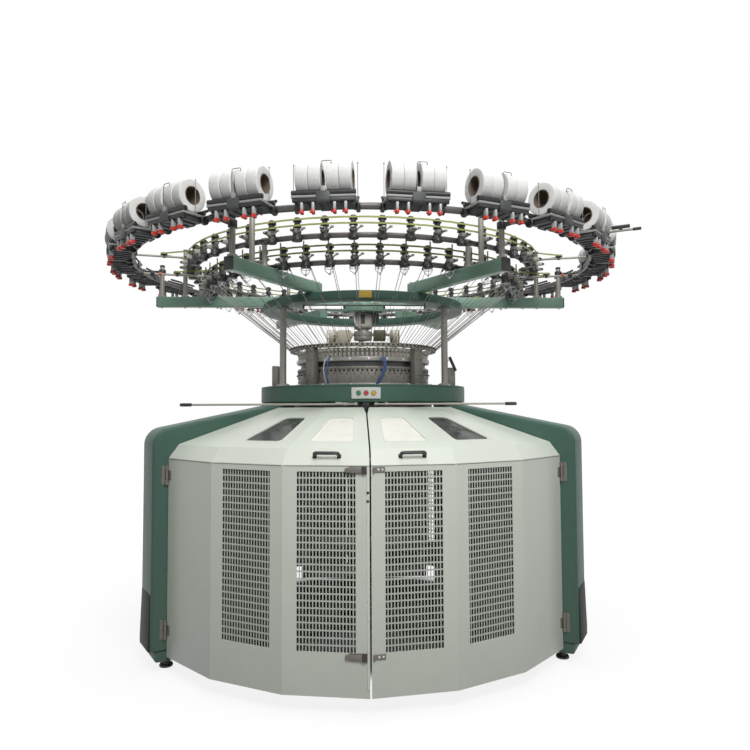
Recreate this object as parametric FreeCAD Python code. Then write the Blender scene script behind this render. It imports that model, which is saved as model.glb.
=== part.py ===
"""Large-diameter circular knitting machine with an elastane creel on top.

Lengths are millimetres and angles are degrees. The origin is on the machine's axis at floor
level, +Z is up, the front faces -Y and +X is to the right. An azimuth is counted from the
front, positive towards +X. Repeated pieces are made at the front and turned into place.
"""

import FreeCAD
import Part
import math
import os

# Base and legs
hub_radius = 170.0
hub_sides = 18
hub_thickness = 85.0
hub_boss_radius = 75.0
hub_boss_sides = 9
hub_boss_height = 40.0
beam_width = 120.0
beam_height = 55.0
beam_underside = 30.0
leg_azimuths = (-60.0, 60.0, 180.0)
leg_half_width = 112.0
leg_inner_end = 560.0
leg_proud = 80.0
leg_underside = 65.0
leg_shoulder_drop = 124.0
leg_top_lip = 12.0
leg_rim_clearance = 6.0
leg_shoulder_radius = 100.0
leg_slope_inset = 110.0
leg_edge = 14.0
foot_radius = 38.0
foot_thickness = 14.0
foot_stem_radius = 18.0
foot_sides = 10
foot_stem_sides = 6
foot_inset = 115.0

# Bed and the head that stands on it
bed_radius = 690.0
bed_bore = 400.0
bed_underside = 1488.0
bed_thickness = 105.0
bed_sides = 30
cam_base_radius = 470.0
cam_base_thickness = 16.0
cam_box_radius = 445.0
cam_box_height = 106.0
cam_box_sides = 24
cam_bore = 392.0
plate_bore = 404.0
guide_post_azimuths = (-45.0, 45.0, 135.0, 225.0)
guide_post_inner = 450.0
guide_post_depth = 44.0
guide_post_width = 76.0
guide_post_height = 242.0
guide_rail_height = 22.0
guide_sides = 24
guide_rail_radius = 500.0
head_plate_height = 155.0
head_plate_thickness = 28.0
guide_band_radius = 438.0
guide_band_height = 44.0

# Columns and upper frame
column_radius = 21.0
column_sides = 8
column_circle_radius = 600.0
column_flange_radius = 42.0
column_flange_thickness = 14.0
upper_ring_radius = 680.0
upper_ring_inner = 550.0
upper_ring_underside = 2098.0
upper_ring_thickness = 50.0
spider_hub_radius = 150.0
spider_thickness = 60.0
spider_drop = 8.0
spider_arm_width = 66.0
spider_arm_tip = 26.0
gearbox_width = 118.0
gearbox_height = 106.0
gearbox_stem_radius = 40.0
gearbox_underside = 1920.0
arm_azimuths = (-150.0, -90.0, -30.0, 30.0, 90.0, 150.0)
arm_inner_end = 575.0
arm_outer_end = 1400.0
arm_width = 60.0
arm_height = 70.0
cap_thickness = 6.0

# Feeder rings, spool ring and their posts
ring_sides = 24
pipe_sides = 6
lower_ring_radius = 1000.0
lower_ring_height = 2241.0
upper_ring_pipe_radius = 1120.0
upper_ring_pipe_height = 2356.0
feeder_pipe_radius = 15.0
spool_ring_radius = 1500.0
spool_ring_height = 2388.0
spool_pipe_radius = 17.0
post_radius = 15.0
post_sides = 6
outer_post_inset = 125.0
outer_post_height = 214.0
tall_post_circle_radius = 1218.0
tall_post_height = 322.0
bracket_height = 24.0
bracket_thickness = 12.0

# Storage feeders and their belts
feeders_per_ring = 48
feeder_width = 34.0
feeder_depth = 43.0
feeder_foot_drop = 26.0
feeder_shoulder_rise = 40.0
feeder_top_rise = 96.0
feeder_neck = 32.0
belt_width = 9.0
belt_thickness = 3.0
belt_spacing = 32.0
belt_rise = 48.0
seat_gap = 0.3

# Elastane units on the spool ring
units = 24
spool_circle_radius = 1572.0
spool_radius = 82.0
spool_pair_width = 115.0
spool_gap = 24.0
spool_sides = 10
spool_bore = 42.0
spool_bore_sides = 5
first_loaded_unit = -5
last_loaded_unit = 5
roller_radius = 13.0
roller_length = 292.0
roller_sides = 5
roller_spread = 56.0
frame_width = 300.0
frame_thickness = 30.0
frame_top_rise = 9.6

# Enclosure doors
door_radius = 1350.0
door_azimuths = (-55.0, -36.6667, -18.3333, 0.0, 18.3333, 36.6667, 55.0)
door_bottom = 91.0
door_fold = 1180.0
hood_fold_rise = 75.0
hood_fold_inset = 55.0
hood_top = 1458.0
hood_rim_gap = 10.0
sheet = 4.0
split_gap = 8.0
split_relief = 12.0
split_relief_start = 810.0
cut_margin = 60.0
window_cut = 20.0
leg_gap = 6.0
hinge_radius = 8.0
hinge_length = 105.0
hinge_sides = 6
hinge_heights = (240.0, 1085.0)
mesh_width = 286.0
mesh_height = 850.0
mesh_bottom = 298.0
mesh_columns = 2
mesh_rows = 4
rear_mesh_columns = 1
rear_mesh_rows = 2
mesh_bar = 16.0
mesh_thickness = 2.0
window_lower_half = 116.0
window_upper_half = 67.0
window_start = 88.0
window_top_margin = 176.0
glass_thickness = 3.0
pane_margin = 8.0
handle_length = 135.0
handle_rise = 34.0
handle_bar = 14.0
latch_width = 111.0
latch_height = 36.0
latch_thickness = 12.0
latch_inset = 12.0
keeper_width = 60.0
latch_heights = (281.0, 1157.0)
hinge_offset = 11.0
hinge_strap = 28.0
rear_azimuths = (120.0, 240.0)

# Rotor seen through the mesh
cylinder_radius = 381.0
cylinder_wall = 34.0
cylinder_top = 1840.0
cylinder_sides = 24
drive_ring_radius = 470.0
drive_ring_inner = 300.0
drive_ring_top = 1487.5
drive_ring_thickness = 60.0
side_frame_offset = 400.0
side_frame_width = 300.0
side_frame_thickness = 30.0
side_frame_foot = 330.0
side_frame_foot_width = 180.0
foot_beam_height = 60.0
shaft_radius = 30.0
foot_beam_width = 160.0
running_gap = 0.5
roller_bar_sides = 8
take_down_places = ((-32.0, 1080.0, 30.0), (32.0, 1080.0, 30.0), (0.0, 1010.0, 36.0), (0.0, 520.0, 60.0))

# Cleaning fans that turn about the axis
fan_collar_radius = 62.0
fan_collar_height = 36.0
fan_height = 1945.0
fan_tip_radius = 250.0
fan_radius = 62.0
fan_sides = 12
fan_drop = 12.0
fan_arm_width = 20.0
fan_arm_rise = 5.0

# Panel on the bed and rods
panel_width = 170.0
panel_height = 66.0
panel_thickness = 14.0
button_radius = 12.0
button_sides = 8
button_height = 9.0
button_pitch = 44.0
rod_radius = 6.0
rod_sides = 6
rod_drop = 12.0
hanger_width = 16.0
rod_offset = 672.0
rod_left_end = -1006.0
rod_right_end = 820.0
rod_middle = 60.0
grip_radius = 10.0
grip_length = 68.0

# Rods that hold the belt tensioners out past the creel
tension_azimuths = (-75.0, 75.0)
tension_radius = 7.0
tension_lower_end_radius = 1485.0
tension_upper_end_radius = 1645.0
tension_clamp = 30.0
top_rod_azimuth = 60.0
top_rod_start_radius = 1430.0
top_rod_end_radius = 1800.0
top_rod_rise = 62.0

# Yarn tubes
tubes = 48
tube_size = 7.0


def polar(radius, azimuth):
    """Plan position at a radius and an azimuth."""
    a = math.radians(azimuth)
    return radius * math.sin(a), -radius * math.cos(a)


def turned(shape, azimuth):
    """A copy of a shape made at the front, turned to an azimuth."""
    copy = shape.copy()
    copy.rotate(FreeCAD.Vector(0, 0, 0), FreeCAD.Vector(0, 0, 1), azimuth)
    return copy


def block(x0, x1, y0, y1, z0, z1):
    """A box between two corners."""
    corner = FreeCAD.Vector(x0, y0, z0)
    return Part.makeBox(x1 - x0, y1 - y0, z1 - z0, corner)


def bar_between(radius, sides, start, end):
    """A straight bar of a few sides from one point to another."""
    a = FreeCAD.Vector(*start)
    b = FreeCAD.Vector(*end)
    along = b - a
    aside = FreeCAD.Vector(0, 0, 1) if abs(along.z) < 0.9 * along.Length else FreeCAD.Vector(0, 1, 0)
    u = along.cross(aside).normalize()
    v = along.cross(u).normalize()
    loop = []
    for k in range(sides + 1):
        turn = 2 * math.pi * (k % sides + 0.5) / sides
        loop.append(a + u * (radius * math.cos(turn)) + v * (radius * math.sin(turn)))
    return Part.Face(Part.makePolygon(loop)).extrude(along)


def round_bar(radius, start, end):
    """A straight round bar from one point to another."""
    a = FreeCAD.Vector(*start)
    along = FreeCAD.Vector(*end) - a
    return Part.makeCylinder(radius, along.Length, a, along)


def face_of(points):
    """A flat face with corners in space."""
    loop = [FreeCAD.Vector(*p) for p in points]
    loop.append(loop[0])
    return Part.Face(Part.makePolygon(loop))


def corners(radius, sides, height, offset=0.0):
    """Corners of a regular polygon; offset turns it by a share of one side."""
    step = 360.0 / sides
    found = []
    for i in range(sides):
        x, y = polar(radius, (i + offset) * step)
        found.append((x, y, height))
    return found


def many_sided(radius, sides, bottom, top, offset=0.5):
    """A prism on a regular polygon whose flats face the multiples of the step."""
    face = face_of(corners(radius, sides, bottom, offset))
    return face.extrude(FreeCAD.Vector(0, 0, top - bottom))


def ring(outer, inner, sides, bottom, top, offset=0.5):
    """A flat ring with straight sides."""
    body = many_sided(outer, sides, bottom, top, offset)
    hole = many_sided(inner, sides, bottom - 1, top + 1, offset)
    return body.cut(hole)


def solid_from_faces(faces):
    """A closed solid from flat faces."""
    solid = Part.makeSolid(Part.makeShell(faces))
    if solid.Volume < 0:
        solid.reverse()
    return solid


def faceted_ring(section, sides, offset=0.5):
    """A ring with straight sides whose section is a list of (radius, height) points."""
    step = 360.0 / sides
    faces = []
    count = len(section)
    for i in range(sides):
        first = (i + offset) * step
        second = (i + 1 + offset) * step
        for k in range(count):
            ra, za = section[k]
            rb, zb = section[(k + 1) % count]
            a = (*polar(ra, first), za)
            b = (*polar(rb, first), zb)
            c = (*polar(rb, second), zb)
            d = (*polar(ra, second), za)
            faces.append(face_of([a, b, c, d]))
    return solid_from_faces(faces)


def pipe_section(radius, height, pipe_radius):
    """A small regular polygon with a flat on top, for a bent pipe's section."""
    section = []
    for k in range(pipe_sides):
        a = math.radians((k + 0.5) * 360.0 / pipe_sides + 30.0)
        section.append((radius + pipe_radius * math.cos(a), height + pipe_radius * math.sin(a)))
    return section


def compound(solids):
    """Several solids kept apart in one node."""
    return Part.makeCompound(solids)


def save(name, shape):
    shape.exportStep("parts/" + name + ".step")


def base_tripod():
    """Hub on the floor with three beams out to the legs."""
    body = many_sided(hub_radius, hub_sides, 0, hub_thickness)
    boss = many_sided(hub_boss_radius, hub_boss_sides, 0, hub_thickness + hub_boss_height)
    body = body.fuse(boss)
    for azimuth in leg_azimuths:
        half = beam_width / 2
        beam = block(-half, half, -leg_inner_end, -hub_boss_radius,
                     beam_underside, beam_underside + beam_height)
        body = body.fuse(turned(beam, azimuth))
    return body.removeSplitter()


def leg():
    """Leg at the front: a tall side profile with a rounded shoulder, given its width."""
    rim = bed_radius - leg_rim_clearance
    slope_top = bed_underside - leg_top_lip
    slope_end = slope_top - leg_shoulder_drop
    lean = math.atan2(leg_shoulder_drop, leg_slope_end_radius - rim)
    arc_centre_s = leg_outer_end - leg_shoulder_radius
    top_s = arc_centre_s + leg_shoulder_radius * math.sin(lean)
    top_z = slope_end - (top_s - leg_slope_end_radius) * math.tan(lean)
    arc_centre_z = top_z - leg_shoulder_radius * math.cos(lean)
    middle = (math.pi / 2 - lean) / 2
    mid_s = arc_centre_s + leg_shoulder_radius * math.cos(middle)
    mid_z = arc_centre_z + leg_shoulder_radius * math.sin(middle)

    def point(s, z):
        return FreeCAD.Vector(-leg_half_width, -s, z)

    path = [
        Part.makeLine(point(leg_inner_end, leg_underside), point(leg_outer_end, leg_underside)),
        Part.makeLine(point(leg_outer_end, leg_underside), point(leg_outer_end, arc_centre_z)),
        Part.Arc(point(leg_outer_end, arc_centre_z), point(mid_s, mid_z), point(top_s, top_z)).toShape(),
        Part.makeLine(point(top_s, top_z), point(rim, slope_top)),
        Part.makeLine(point(rim, slope_top), point(rim, bed_underside)),
        Part.makeLine(point(rim, bed_underside), point(leg_inner_end, bed_underside)),
        Part.makeLine(point(leg_inner_end, bed_underside), point(leg_inner_end, leg_underside)),
    ]
    face = Part.Face(Part.Wire(path))
    body = face.extrude(FreeCAD.Vector(2 * leg_half_width, 0, 0))
    rim_edges = []
    for edge in body.Edges:
        box = edge.BoundBox
        outside = box.YMin < -rim - 1 and box.ZMax > leg_underside + 1
        if box.XLength < 0.1 and outside:
            rim_edges.append(edge)
    return body.makeChamfer(leg_edge, rim_edges)


def levelling_feet():
    """One round foot with its stem under the outer end of each leg."""
    feet = []
    for azimuth in leg_azimuths:
        x, y = polar(leg_outer_end - foot_inset, azimuth)
        pad = bar_between(foot_radius, foot_sides, (x, y, 0), (x, y, foot_thickness))
        stem = bar_between(foot_stem_radius, foot_stem_sides, (x, y, 0), (x, y, leg_underside))
        feet.append(pad.fuse(stem).removeSplitter())
    return compound(feet)


leg_outer_end = door_radius + leg_proud
leg_slope_end_radius = leg_outer_end - leg_slope_inset
outer_post_circle_radius = spool_ring_radius - outer_post_inset
bed_top = bed_underside + bed_thickness
cam_base_top = bed_top + cam_base_thickness
cam_box_top = cam_base_top + cam_box_height
head_plate_underside = bed_top + head_plate_height
head_plate_top = head_plate_underside + head_plate_thickness
guide_post_top = bed_top + guide_post_height
upper_ring_top = upper_ring_underside + upper_ring_thickness
arm_top = upper_ring_top + arm_height
rod_height = bed_underside - rod_drop
roller_height = spool_ring_height + frame_top_rise + seat_gap + roller_radius


def guide_posts():
    """Blocks that stand on the bed and carry the guide plate and rail."""
    half = guide_post_width / 2
    outer = guide_post_inner + guide_post_depth
    foot = block(-half, half, -outer, -cam_base_radius - 1, bed_top, cam_base_top)
    upper = block(-half, half, -outer, -guide_post_inner, cam_base_top, guide_post_top)
    post = foot.fuse(upper).removeSplitter()
    return compound([turned(post, azimuth) for azimuth in guide_post_azimuths])


def columns():
    """Three round columns with a flange at each end."""
    found = []
    for azimuth in leg_azimuths:
        x, y = polar(column_circle_radius, azimuth)
        shaft = bar_between(column_radius, column_sides, (x, y, bed_top), (x, y, upper_ring_underside))
        foot_top = bed_top + column_flange_thickness
        cap_bottom = upper_ring_underside - column_flange_thickness
        foot = bar_between(column_flange_radius, column_sides, (x, y, bed_top), (x, y, foot_top))
        cap = bar_between(column_flange_radius, column_sides, (x, y, cap_bottom),
                          (x, y, upper_ring_underside))
        found.append(shaft.fuse(foot).fuse(cap).removeSplitter())
    return compound(found)


def ring_spider():
    """Hub and three tapering arms that bridge the upper ring."""
    underside = upper_ring_underside + spider_drop
    body = many_sided(spider_hub_radius, hub_sides, underside, underside + spider_thickness)
    apothem = upper_ring_inner * math.cos(math.pi / bed_sides)
    half = spider_arm_width / 2
    for azimuth in leg_azimuths:
        side = face_of([
            (-half, 0, underside),
            (-half, -apothem, underside),
            (-half, -apothem, underside + spider_arm_tip),
            (-half, -spider_hub_radius, underside + spider_thickness),
            (-half, 0, underside + spider_thickness),
        ])
        body = body.fuse(turned(side.extrude(FreeCAD.Vector(2 * half, 0, 0)), azimuth))
    return body.removeSplitter()


def centre_gearbox():
    """Box that hangs from the spider's hub on the axis."""
    underside = upper_ring_underside + spider_drop
    half = gearbox_width / 2
    box = block(-half, half, -half, half, underside - gearbox_height, underside)
    stem = many_sided(gearbox_stem_radius, fan_sides, gearbox_underside, underside)
    flange = many_sided(fan_collar_radius, fan_sides, gearbox_underside, fan_height - running_gap)
    return box.fuse(stem).fuse(flange).removeSplitter()


def radial_arms():
    """Six box beams on the upper ring."""
    half = arm_width / 2
    beam = block(-half, half, -arm_outer_end, -arm_inner_end, upper_ring_top, arm_top)
    return compound([turned(beam, azimuth) for azimuth in arm_azimuths])


def arm_end_caps():
    """Plastic plugs that close the beams' outer ends."""
    half = arm_width / 2
    plug = block(-half, half, -arm_outer_end - cap_thickness, -arm_outer_end,
                 upper_ring_top, arm_top)
    return compound([turned(plug, azimuth) for azimuth in arm_azimuths])


def ring_posts():
    """On each arm a stub, two posts and a bracket that carry the three pipe rings."""
    found = []
    flat = math.cos(math.pi / ring_sides)
    pipe_flat = feeder_pipe_radius * math.cos(math.pi / pipe_sides)
    for azimuth in arm_azimuths:
        half = post_radius
        lower_y = lower_ring_radius * flat
        stub = block(-half, half, -lower_y - half, -lower_y + half,
                     arm_top, lower_ring_height - pipe_flat)
        upper_y = upper_ring_pipe_radius * flat
        post = block(-half, half, -upper_y - half, -upper_y + half,
                     arm_top, upper_ring_pipe_height - pipe_flat)
        outer = bar_between(post_radius, post_sides, (0, -outer_post_circle_radius, arm_top),
                            (0, -outer_post_circle_radius, arm_top + outer_post_height))
        reach = spool_ring_radius - spool_pipe_radius - seat_gap
        bracket = block(-bracket_thickness / 2, bracket_thickness / 2, -reach, -outer_post_circle_radius,
                        spool_ring_height - bracket_height / 2, spool_ring_height + bracket_height / 2)
        outer = outer.fuse(bracket).removeSplitter()
        tall = bar_between(post_radius, post_sides, (0, -tall_post_circle_radius, arm_top),
                           (0, -tall_post_circle_radius, arm_top + tall_post_height))
        for piece in (stub, post, outer, tall):
            found.append(turned(piece, azimuth))
    return compound(found)


def pipe_ring(radius, height, pipe_radius, offset=0.5):
    return faceted_ring(pipe_section(radius, height, pipe_radius), ring_sides, offset)


def feeder_reach(ring_radius):
    """Distance from the axis to a feeder's inner face, where it meets the pipe's outer edge."""
    flat = (ring_radius + feeder_pipe_radius) * math.cos(math.pi / ring_sides)
    turn = math.radians(180.0 / feeders_per_ring)
    return flat / math.cos(turn) + feeder_width / 2 * math.tan(turn)


def storage_feeders(ring_radius, ring_height):
    """Feeder bodies clamped to a pipe ring, as one side profile given its width."""
    half = feeder_width / 2
    inner = feeder_reach(ring_radius)
    outer = inner + feeder_depth
    base = ring_height - feeder_foot_drop
    shoulder = ring_height + feeder_shoulder_rise
    top = ring_height + feeder_top_rise
    outline = [(inner, base), (outer, base), (outer, top), (outer - feeder_neck, top), (inner, shoulder)]
    side = face_of([(-half, -r, z) for r, z in outline])
    unit = side.extrude(FreeCAD.Vector(2 * half, 0, 0))
    step = 360.0 / feeders_per_ring
    return compound([turned(unit, (i + 0.5) * step) for i in range(feeders_per_ring)])


def feeder_belts():
    """Two belts round the pulleys of each ring's feeders."""
    belts = []
    turn = math.radians(180.0 / feeders_per_ring)
    for radius, height in ((lower_ring_radius, lower_ring_height),
                           (upper_ring_pipe_radius, upper_ring_pipe_height)):
        pulley = feeder_reach(radius) + feeder_depth
        flat = pulley * math.cos(turn) + feeder_width / 2 * math.sin(turn) + seat_gap
        inner = flat / math.cos(math.pi / ring_sides)
        for level in (0, 1):
            middle = height + belt_rise + level * belt_spacing
            section = [
                (inner, middle - belt_width / 2),
                (inner + belt_thickness, middle - belt_width / 2),
                (inner + belt_thickness, middle + belt_width / 2),
                (inner, middle + belt_width / 2),
            ]
            belts.append(faceted_ring(section, ring_sides))
    return compound(belts)


def spool_axis_height():
    """Height at which the spools lie in the valley between their two drive rollers."""
    apart = spool_radius + roller_radius + seat_gap
    return roller_height + math.sqrt(apart ** 2 - roller_spread ** 2)


def spool_frames():
    """Boxes fixed to the outside of the spool ring, one for each pair of spools."""
    half = frame_width / 2
    top = spool_ring_height + frame_top_rise
    inner = (spool_ring_radius + spool_pipe_radius) * math.cos(math.pi / ring_sides)
    outer = spool_circle_radius + roller_spread + roller_radius
    box = block(-half, half, -outer, -inner, top - frame_thickness, top)
    step = 360.0 / units
    return compound([turned(box, (i + 0.5) * step) for i in range(units)])


def spool_rollers():
    """Two drive rollers in each tray, parallel to the tray."""
    half = roller_length / 2
    step = 360.0 / units
    found = []
    for i in range(units):
        for side in (-1, 1):
            y = -spool_circle_radius + side * roller_spread
            section = []
            for k in range(roller_sides):
                a = math.radians((k + 0.75) * 360.0 / roller_sides)
                section.append((-half, y + roller_radius * math.cos(a),
                                roller_height + roller_radius * math.sin(a)))
            roller = face_of(section).extrude(FreeCAD.Vector(2 * half, 0, 0))
            found.append(turned(roller, (i + 0.5) * step))
    return compound(found)


def cheese_end(x, radius, sides):
    """Flat polygon across the cheeses' axis, with corners over the two drive rollers."""
    outline = []
    height = spool_axis_height()
    for k in range(sides):
        a = math.radians((k + 0.5) * 360.0 / sides)
        outline.append((x, -spool_circle_radius + radius * math.cos(a), height + radius * math.sin(a)))
    return face_of(outline)


def elastane_spools():
    """Two pairs of wound cheeses on each loaded tray, each pair on one tube."""
    step = 360.0 / units
    along = FreeCAD.Vector(spool_pair_width, 0, 0)
    found = []
    for i in range(first_loaded_unit, last_loaded_unit + 1):
        for near in (-spool_gap / 2 - spool_pair_width, spool_gap / 2):
            wound = cheese_end(near, spool_radius, spool_sides)
            pair = wound.cut(cheese_end(near, spool_bore, spool_bore_sides)).Faces[0].extrude(along)
            found.append(turned(pair, (i + 0.5) * step))
    return compound(found)


def mirrored(shape):
    """The same piece on the other side of the machine's middle plane."""
    return shape.mirror(FreeCAD.Vector(0, 0, 0), FreeCAD.Vector(1, 0, 0))


hood_fold = door_fold + hood_fold_rise
hood_fold_radius = door_radius - hood_fold_inset
hood_top_radius = bed_radius + hood_rim_gap
half_facet = (door_azimuths[1] - door_azimuths[0]) / 2
facet_cos = math.cos(math.radians(half_facet))
door_apothem = door_radius * facet_cos


def sector(section, azimuths):
    """A folded sheet: a closed (radius, height) section carried round several flat facets."""
    faces = []
    count = len(section)
    for first, second in zip(azimuths, azimuths[1:]):
        for k in range(count):
            ra, za = section[k]
            rb, zb = section[(k + 1) % count]
            faces.append(face_of([(*polar(ra, first), za), (*polar(rb, first), zb),
                                  (*polar(rb, second), zb), (*polar(ra, second), za)]))
    for azimuth in (azimuths[0], azimuths[-1]):
        faces.append(face_of([(*polar(r, azimuth), z) for r, z in section]))
    return solid_from_faces(faces)


def keep_leaf(shape):
    """Trim a left-hand leaf along the leg's side and along the split between the leaves."""
    far = 2 * door_radius
    edge = leg_half_width + leg_gap
    keep = block(edge, far, -far, far, 0, far)
    shape = shape.common(turned(keep, leg_azimuths[0]))
    keep = block(-far, -split_gap / 2, -far, far, 0, far)
    return shape.common(keep)


def leaf_panels():
    """Three upright sheets of a leaf, folded from one, with two tall openings."""
    inner = door_radius - sheet / facet_cos
    section = [(door_radius, door_bottom), (door_radius, door_fold),
               (inner, door_fold), (inner, door_bottom)]
    body = keep_leaf(sector(section, door_azimuths[:4]))
    half = mesh_width / 2
    opening = block(-half, half, -door_radius - 1, -door_radius + cut_margin,
                    mesh_bottom, mesh_bottom + mesh_height)
    for azimuth in leaf_mesh_azimuths():
        body = body.cut(turned(opening, azimuth))
    return body


def leaf_mesh_azimuths():
    """Middle azimuths of the two facets that carry mesh and a window."""
    return [door_azimuths[1] + half_facet, door_azimuths[2] + half_facet]


def leaf_mesh(across, down):
    """Slotted sheets behind the two openings of a leaf, with so many slots each way."""
    y = -door_apothem + sheet + seat_gap
    half = mesh_width / 2 + mesh_bar / 2
    low = mesh_bottom - mesh_bar / 2
    high = mesh_bottom + mesh_height + mesh_bar / 2
    plate = block(-half, half, y, y + mesh_thickness, low, high)
    pitch_x = (2 * half - mesh_bar) / across
    pitch_z = (high - low - mesh_bar) / down
    for i in range(across):
        for k in range(down):
            x0 = -half + mesh_bar + i * pitch_x
            z0 = low + mesh_bar + k * pitch_z
            slot = block(x0, x0 + pitch_x - mesh_bar, y - 1, y + mesh_thickness + 1,
                         z0, z0 + pitch_z - mesh_bar)
            plate = plate.cut(slot)
    return compound([turned(plate, azimuth) for azimuth in leaf_mesh_azimuths()])


def roof_slope():
    """Run, rise and length of the roof facet's middle line."""
    run = (hood_top_radius - hood_fold_radius) * facet_cos
    rise = hood_top - hood_fold
    return run, rise, math.hypot(run, rise)


def hood_point(across, up, out):
    """A point on the roof facet at the front: across it, up its slope, out of its face."""
    low = (hood_fold_radius * facet_cos, hood_fold)
    run, rise, length = roof_slope()
    r = low[0] + run / length * up + rise / length * out
    z = low[1] + rise / length * up - run / length * out
    return across, -r, z


def window_prism(margin, start, end):
    """A trapezoid plate parallel to the roof facet, between two distances out of its face."""
    low = window_lower_half + margin
    high = window_upper_half + margin
    window_end = roof_slope()[2] - window_top_margin
    corners_at = [(-low, window_start - margin), (low, window_start - margin),
                  (high, window_end + margin), (-high, window_end + margin)]
    base = face_of([hood_point(a, u, start) for a, u in corners_at])
    a = FreeCAD.Vector(*hood_point(0, 0, start))
    b = FreeCAD.Vector(*hood_point(0, 0, end))
    return base.extrude(b - a)


def leaf_hood():
    """Folded sheet over a leaf: the narrow fold and the roof, with two window openings."""
    fold_in = sheet / facet_cos
    run = door_radius - hood_fold_radius
    rise = hood_fold - door_fold
    roof_run = hood_fold_radius - hood_top_radius
    roof_rise = hood_top - hood_fold
    lean = math.atan2(run, rise)
    roof_lean = math.atan2(roof_run, roof_rise)
    corner = (lean + roof_lean) / 2
    depth = fold_in / math.cos((roof_lean - lean) / 2)
    section = [
        (door_radius, door_fold),
        (hood_fold_radius, hood_fold),
        (hood_top_radius, hood_top),
        (hood_top_radius, hood_top - fold_in / math.sin(roof_lean)),
        (hood_fold_radius - depth * math.cos(corner), hood_fold - depth * math.sin(corner)),
        (door_radius - fold_in / math.cos(lean), door_fold),
    ]
    body = keep_leaf(sector(section, door_azimuths[:4]))
    start = -split_relief_start
    end = -hood_top_radius + cut_margin
    far = -split_gap / 2 - split_relief
    relief = face_of([(-split_gap / 2, start, hood_fold), (far, -hood_top_radius, hood_fold),
                      (far, end, hood_fold), (0, end, hood_fold), (0, start, hood_fold)])
    body = body.cut(relief.extrude(FreeCAD.Vector(0, 0, roof_rise + cut_margin)))
    for azimuth in leaf_mesh_azimuths():
        body = body.cut(turned(window_prism(0, -window_cut, window_cut), azimuth))
    return body


def leaf_windows():
    """Panes under the two openings of a leaf's roof."""
    outer = -sheet - seat_gap
    pane = window_prism(pane_margin, outer - glass_thickness, outer)
    return compound([turned(pane, azimuth) for azimuth in leaf_mesh_azimuths()])


def leaf_handle():
    """Bow handle on the fold nearest the split."""
    run = (door_radius - hood_fold_radius) * facet_cos
    rise = hood_fold - door_fold
    length = math.hypot(run, rise)
    normal = FreeCAD.Vector(0, -rise / length, run / length)
    y = -(door_radius + hood_fold_radius) / 2 * facet_cos
    z = (door_fold + hood_fold) / 2
    up = FreeCAD.Vector(0, run / length, rise / length)
    half = handle_length / 2
    bar = handle_bar
    profile = [(-half, 0), (-half, handle_rise), (half, handle_rise), (half, 0), (half - bar, 0),
               (half - bar, handle_rise - bar), (-half + bar, handle_rise - bar), (-half + bar, 0)]
    origin = FreeCAD.Vector(0, y, z) - up * (bar / 2)
    loop = [origin + FreeCAD.Vector(px, 0, 0) + normal * pz for px, pz in profile]
    loop.append(loop[0])
    bow = Part.Face(Part.makePolygon(loop)).extrude(up * bar)
    return turned(bow, leaf_mesh_azimuths()[1])


def hinge_axis():
    """Plan position of a left-hand leaf's hinge axis: clear of the leg's side and of the sheet."""
    leg = math.radians(leg_azimuths[0])
    facet = math.radians(door_azimuths[0] + half_facet)
    a, b, c = math.cos(leg), math.sin(leg), leg_half_width + hinge_offset
    d, e, f = math.sin(facet), -math.cos(facet), door_apothem + hinge_offset
    det = a * e - b * d
    return (c * e - b * f) / det, (a * f - c * d) / det


def leaf_fittings(latch_start, latch_end, opens):
    """Latch plates near the split, and the straps of two hinges with their knuckle if the leaf opens."""
    found = []
    for height in latch_heights:
        plate = block(latch_start, latch_end, -door_apothem - latch_thickness, -door_apothem,
                      height - latch_height / 2, height + latch_height / 2)
        found.append(turned(plate, leaf_mesh_azimuths()[1]))
    x, y = hinge_axis()
    facet = door_azimuths[0] + half_facet
    local_x, local_y = turned_point(x, y, -facet)
    for height in hinge_heights:
        low = height - hinge_length / 4
        high = height + hinge_length / 4
        start = local_x - hinge_radius / 2 if opens else local_x + hinge_radius
        thickness = sheet if opens else hinge_offset + hinge_radius / 2
        strap = block(start, local_x + hinge_strap, -door_apothem - thickness, -door_apothem, low, high)
        if opens:
            strap = strap.fuse(round_bar(hinge_radius, (local_x, local_y, low), (local_x, local_y, high)))
        found.append(turned(strap.removeSplitter(), facet))
    return compound(found)


def turned_point(x, y, angle):
    a = math.radians(angle)
    return x * math.cos(a) - y * math.sin(a), x * math.sin(a) + y * math.cos(a)


def fixed_hinges(opens):
    """Hinge plates on the legs; on a leaf that opens, the middle is left free for its knuckle."""
    found = []
    x, y = hinge_axis()
    leg_azimuth = leg_azimuths[0]
    local_x, local_y = turned_point(x, y, -leg_azimuth)
    for height in hinge_heights:
        low = height - hinge_length / 2
        high = height + hinge_length / 2
        free = (height - hinge_length / 4 - seat_gap, height + hinge_length / 4 + seat_gap)
        plate = block(leg_half_width, leg_half_width + sheet, local_y - hinge_strap, local_y, low, high)
        spans = ((low, free[0]), (free[1], high)) if opens else ((low, high),)
        if opens:
            notch = block(leg_half_width - 1, leg_half_width + sheet + 1,
                          local_y - hinge_radius - seat_gap, local_y + 1, *free)
            plate = plate.cut(notch)
        for start, end in spans:
            plate = plate.fuse(bar_between(hinge_radius, hinge_sides, (local_x, local_y, start),
                                           (local_x, local_y, end)))
        found.append(turned(plate.removeSplitter(), leg_azimuth))
    return found


def leaf_parts(prefix, latch_start, latch_end, across, down, opens):
    """All the nodes of one leaf, in the left-hand place."""
    return {
        prefix + "_panels": leaf_panels(),
        prefix + "_mesh": leaf_mesh(across, down),
        prefix + "_hood": leaf_hood(),
        prefix + "_windows": leaf_windows(),
        prefix + "_handle": leaf_handle(),
        prefix + "_fittings": leaf_fittings(latch_start, latch_end, opens),
    }


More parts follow.
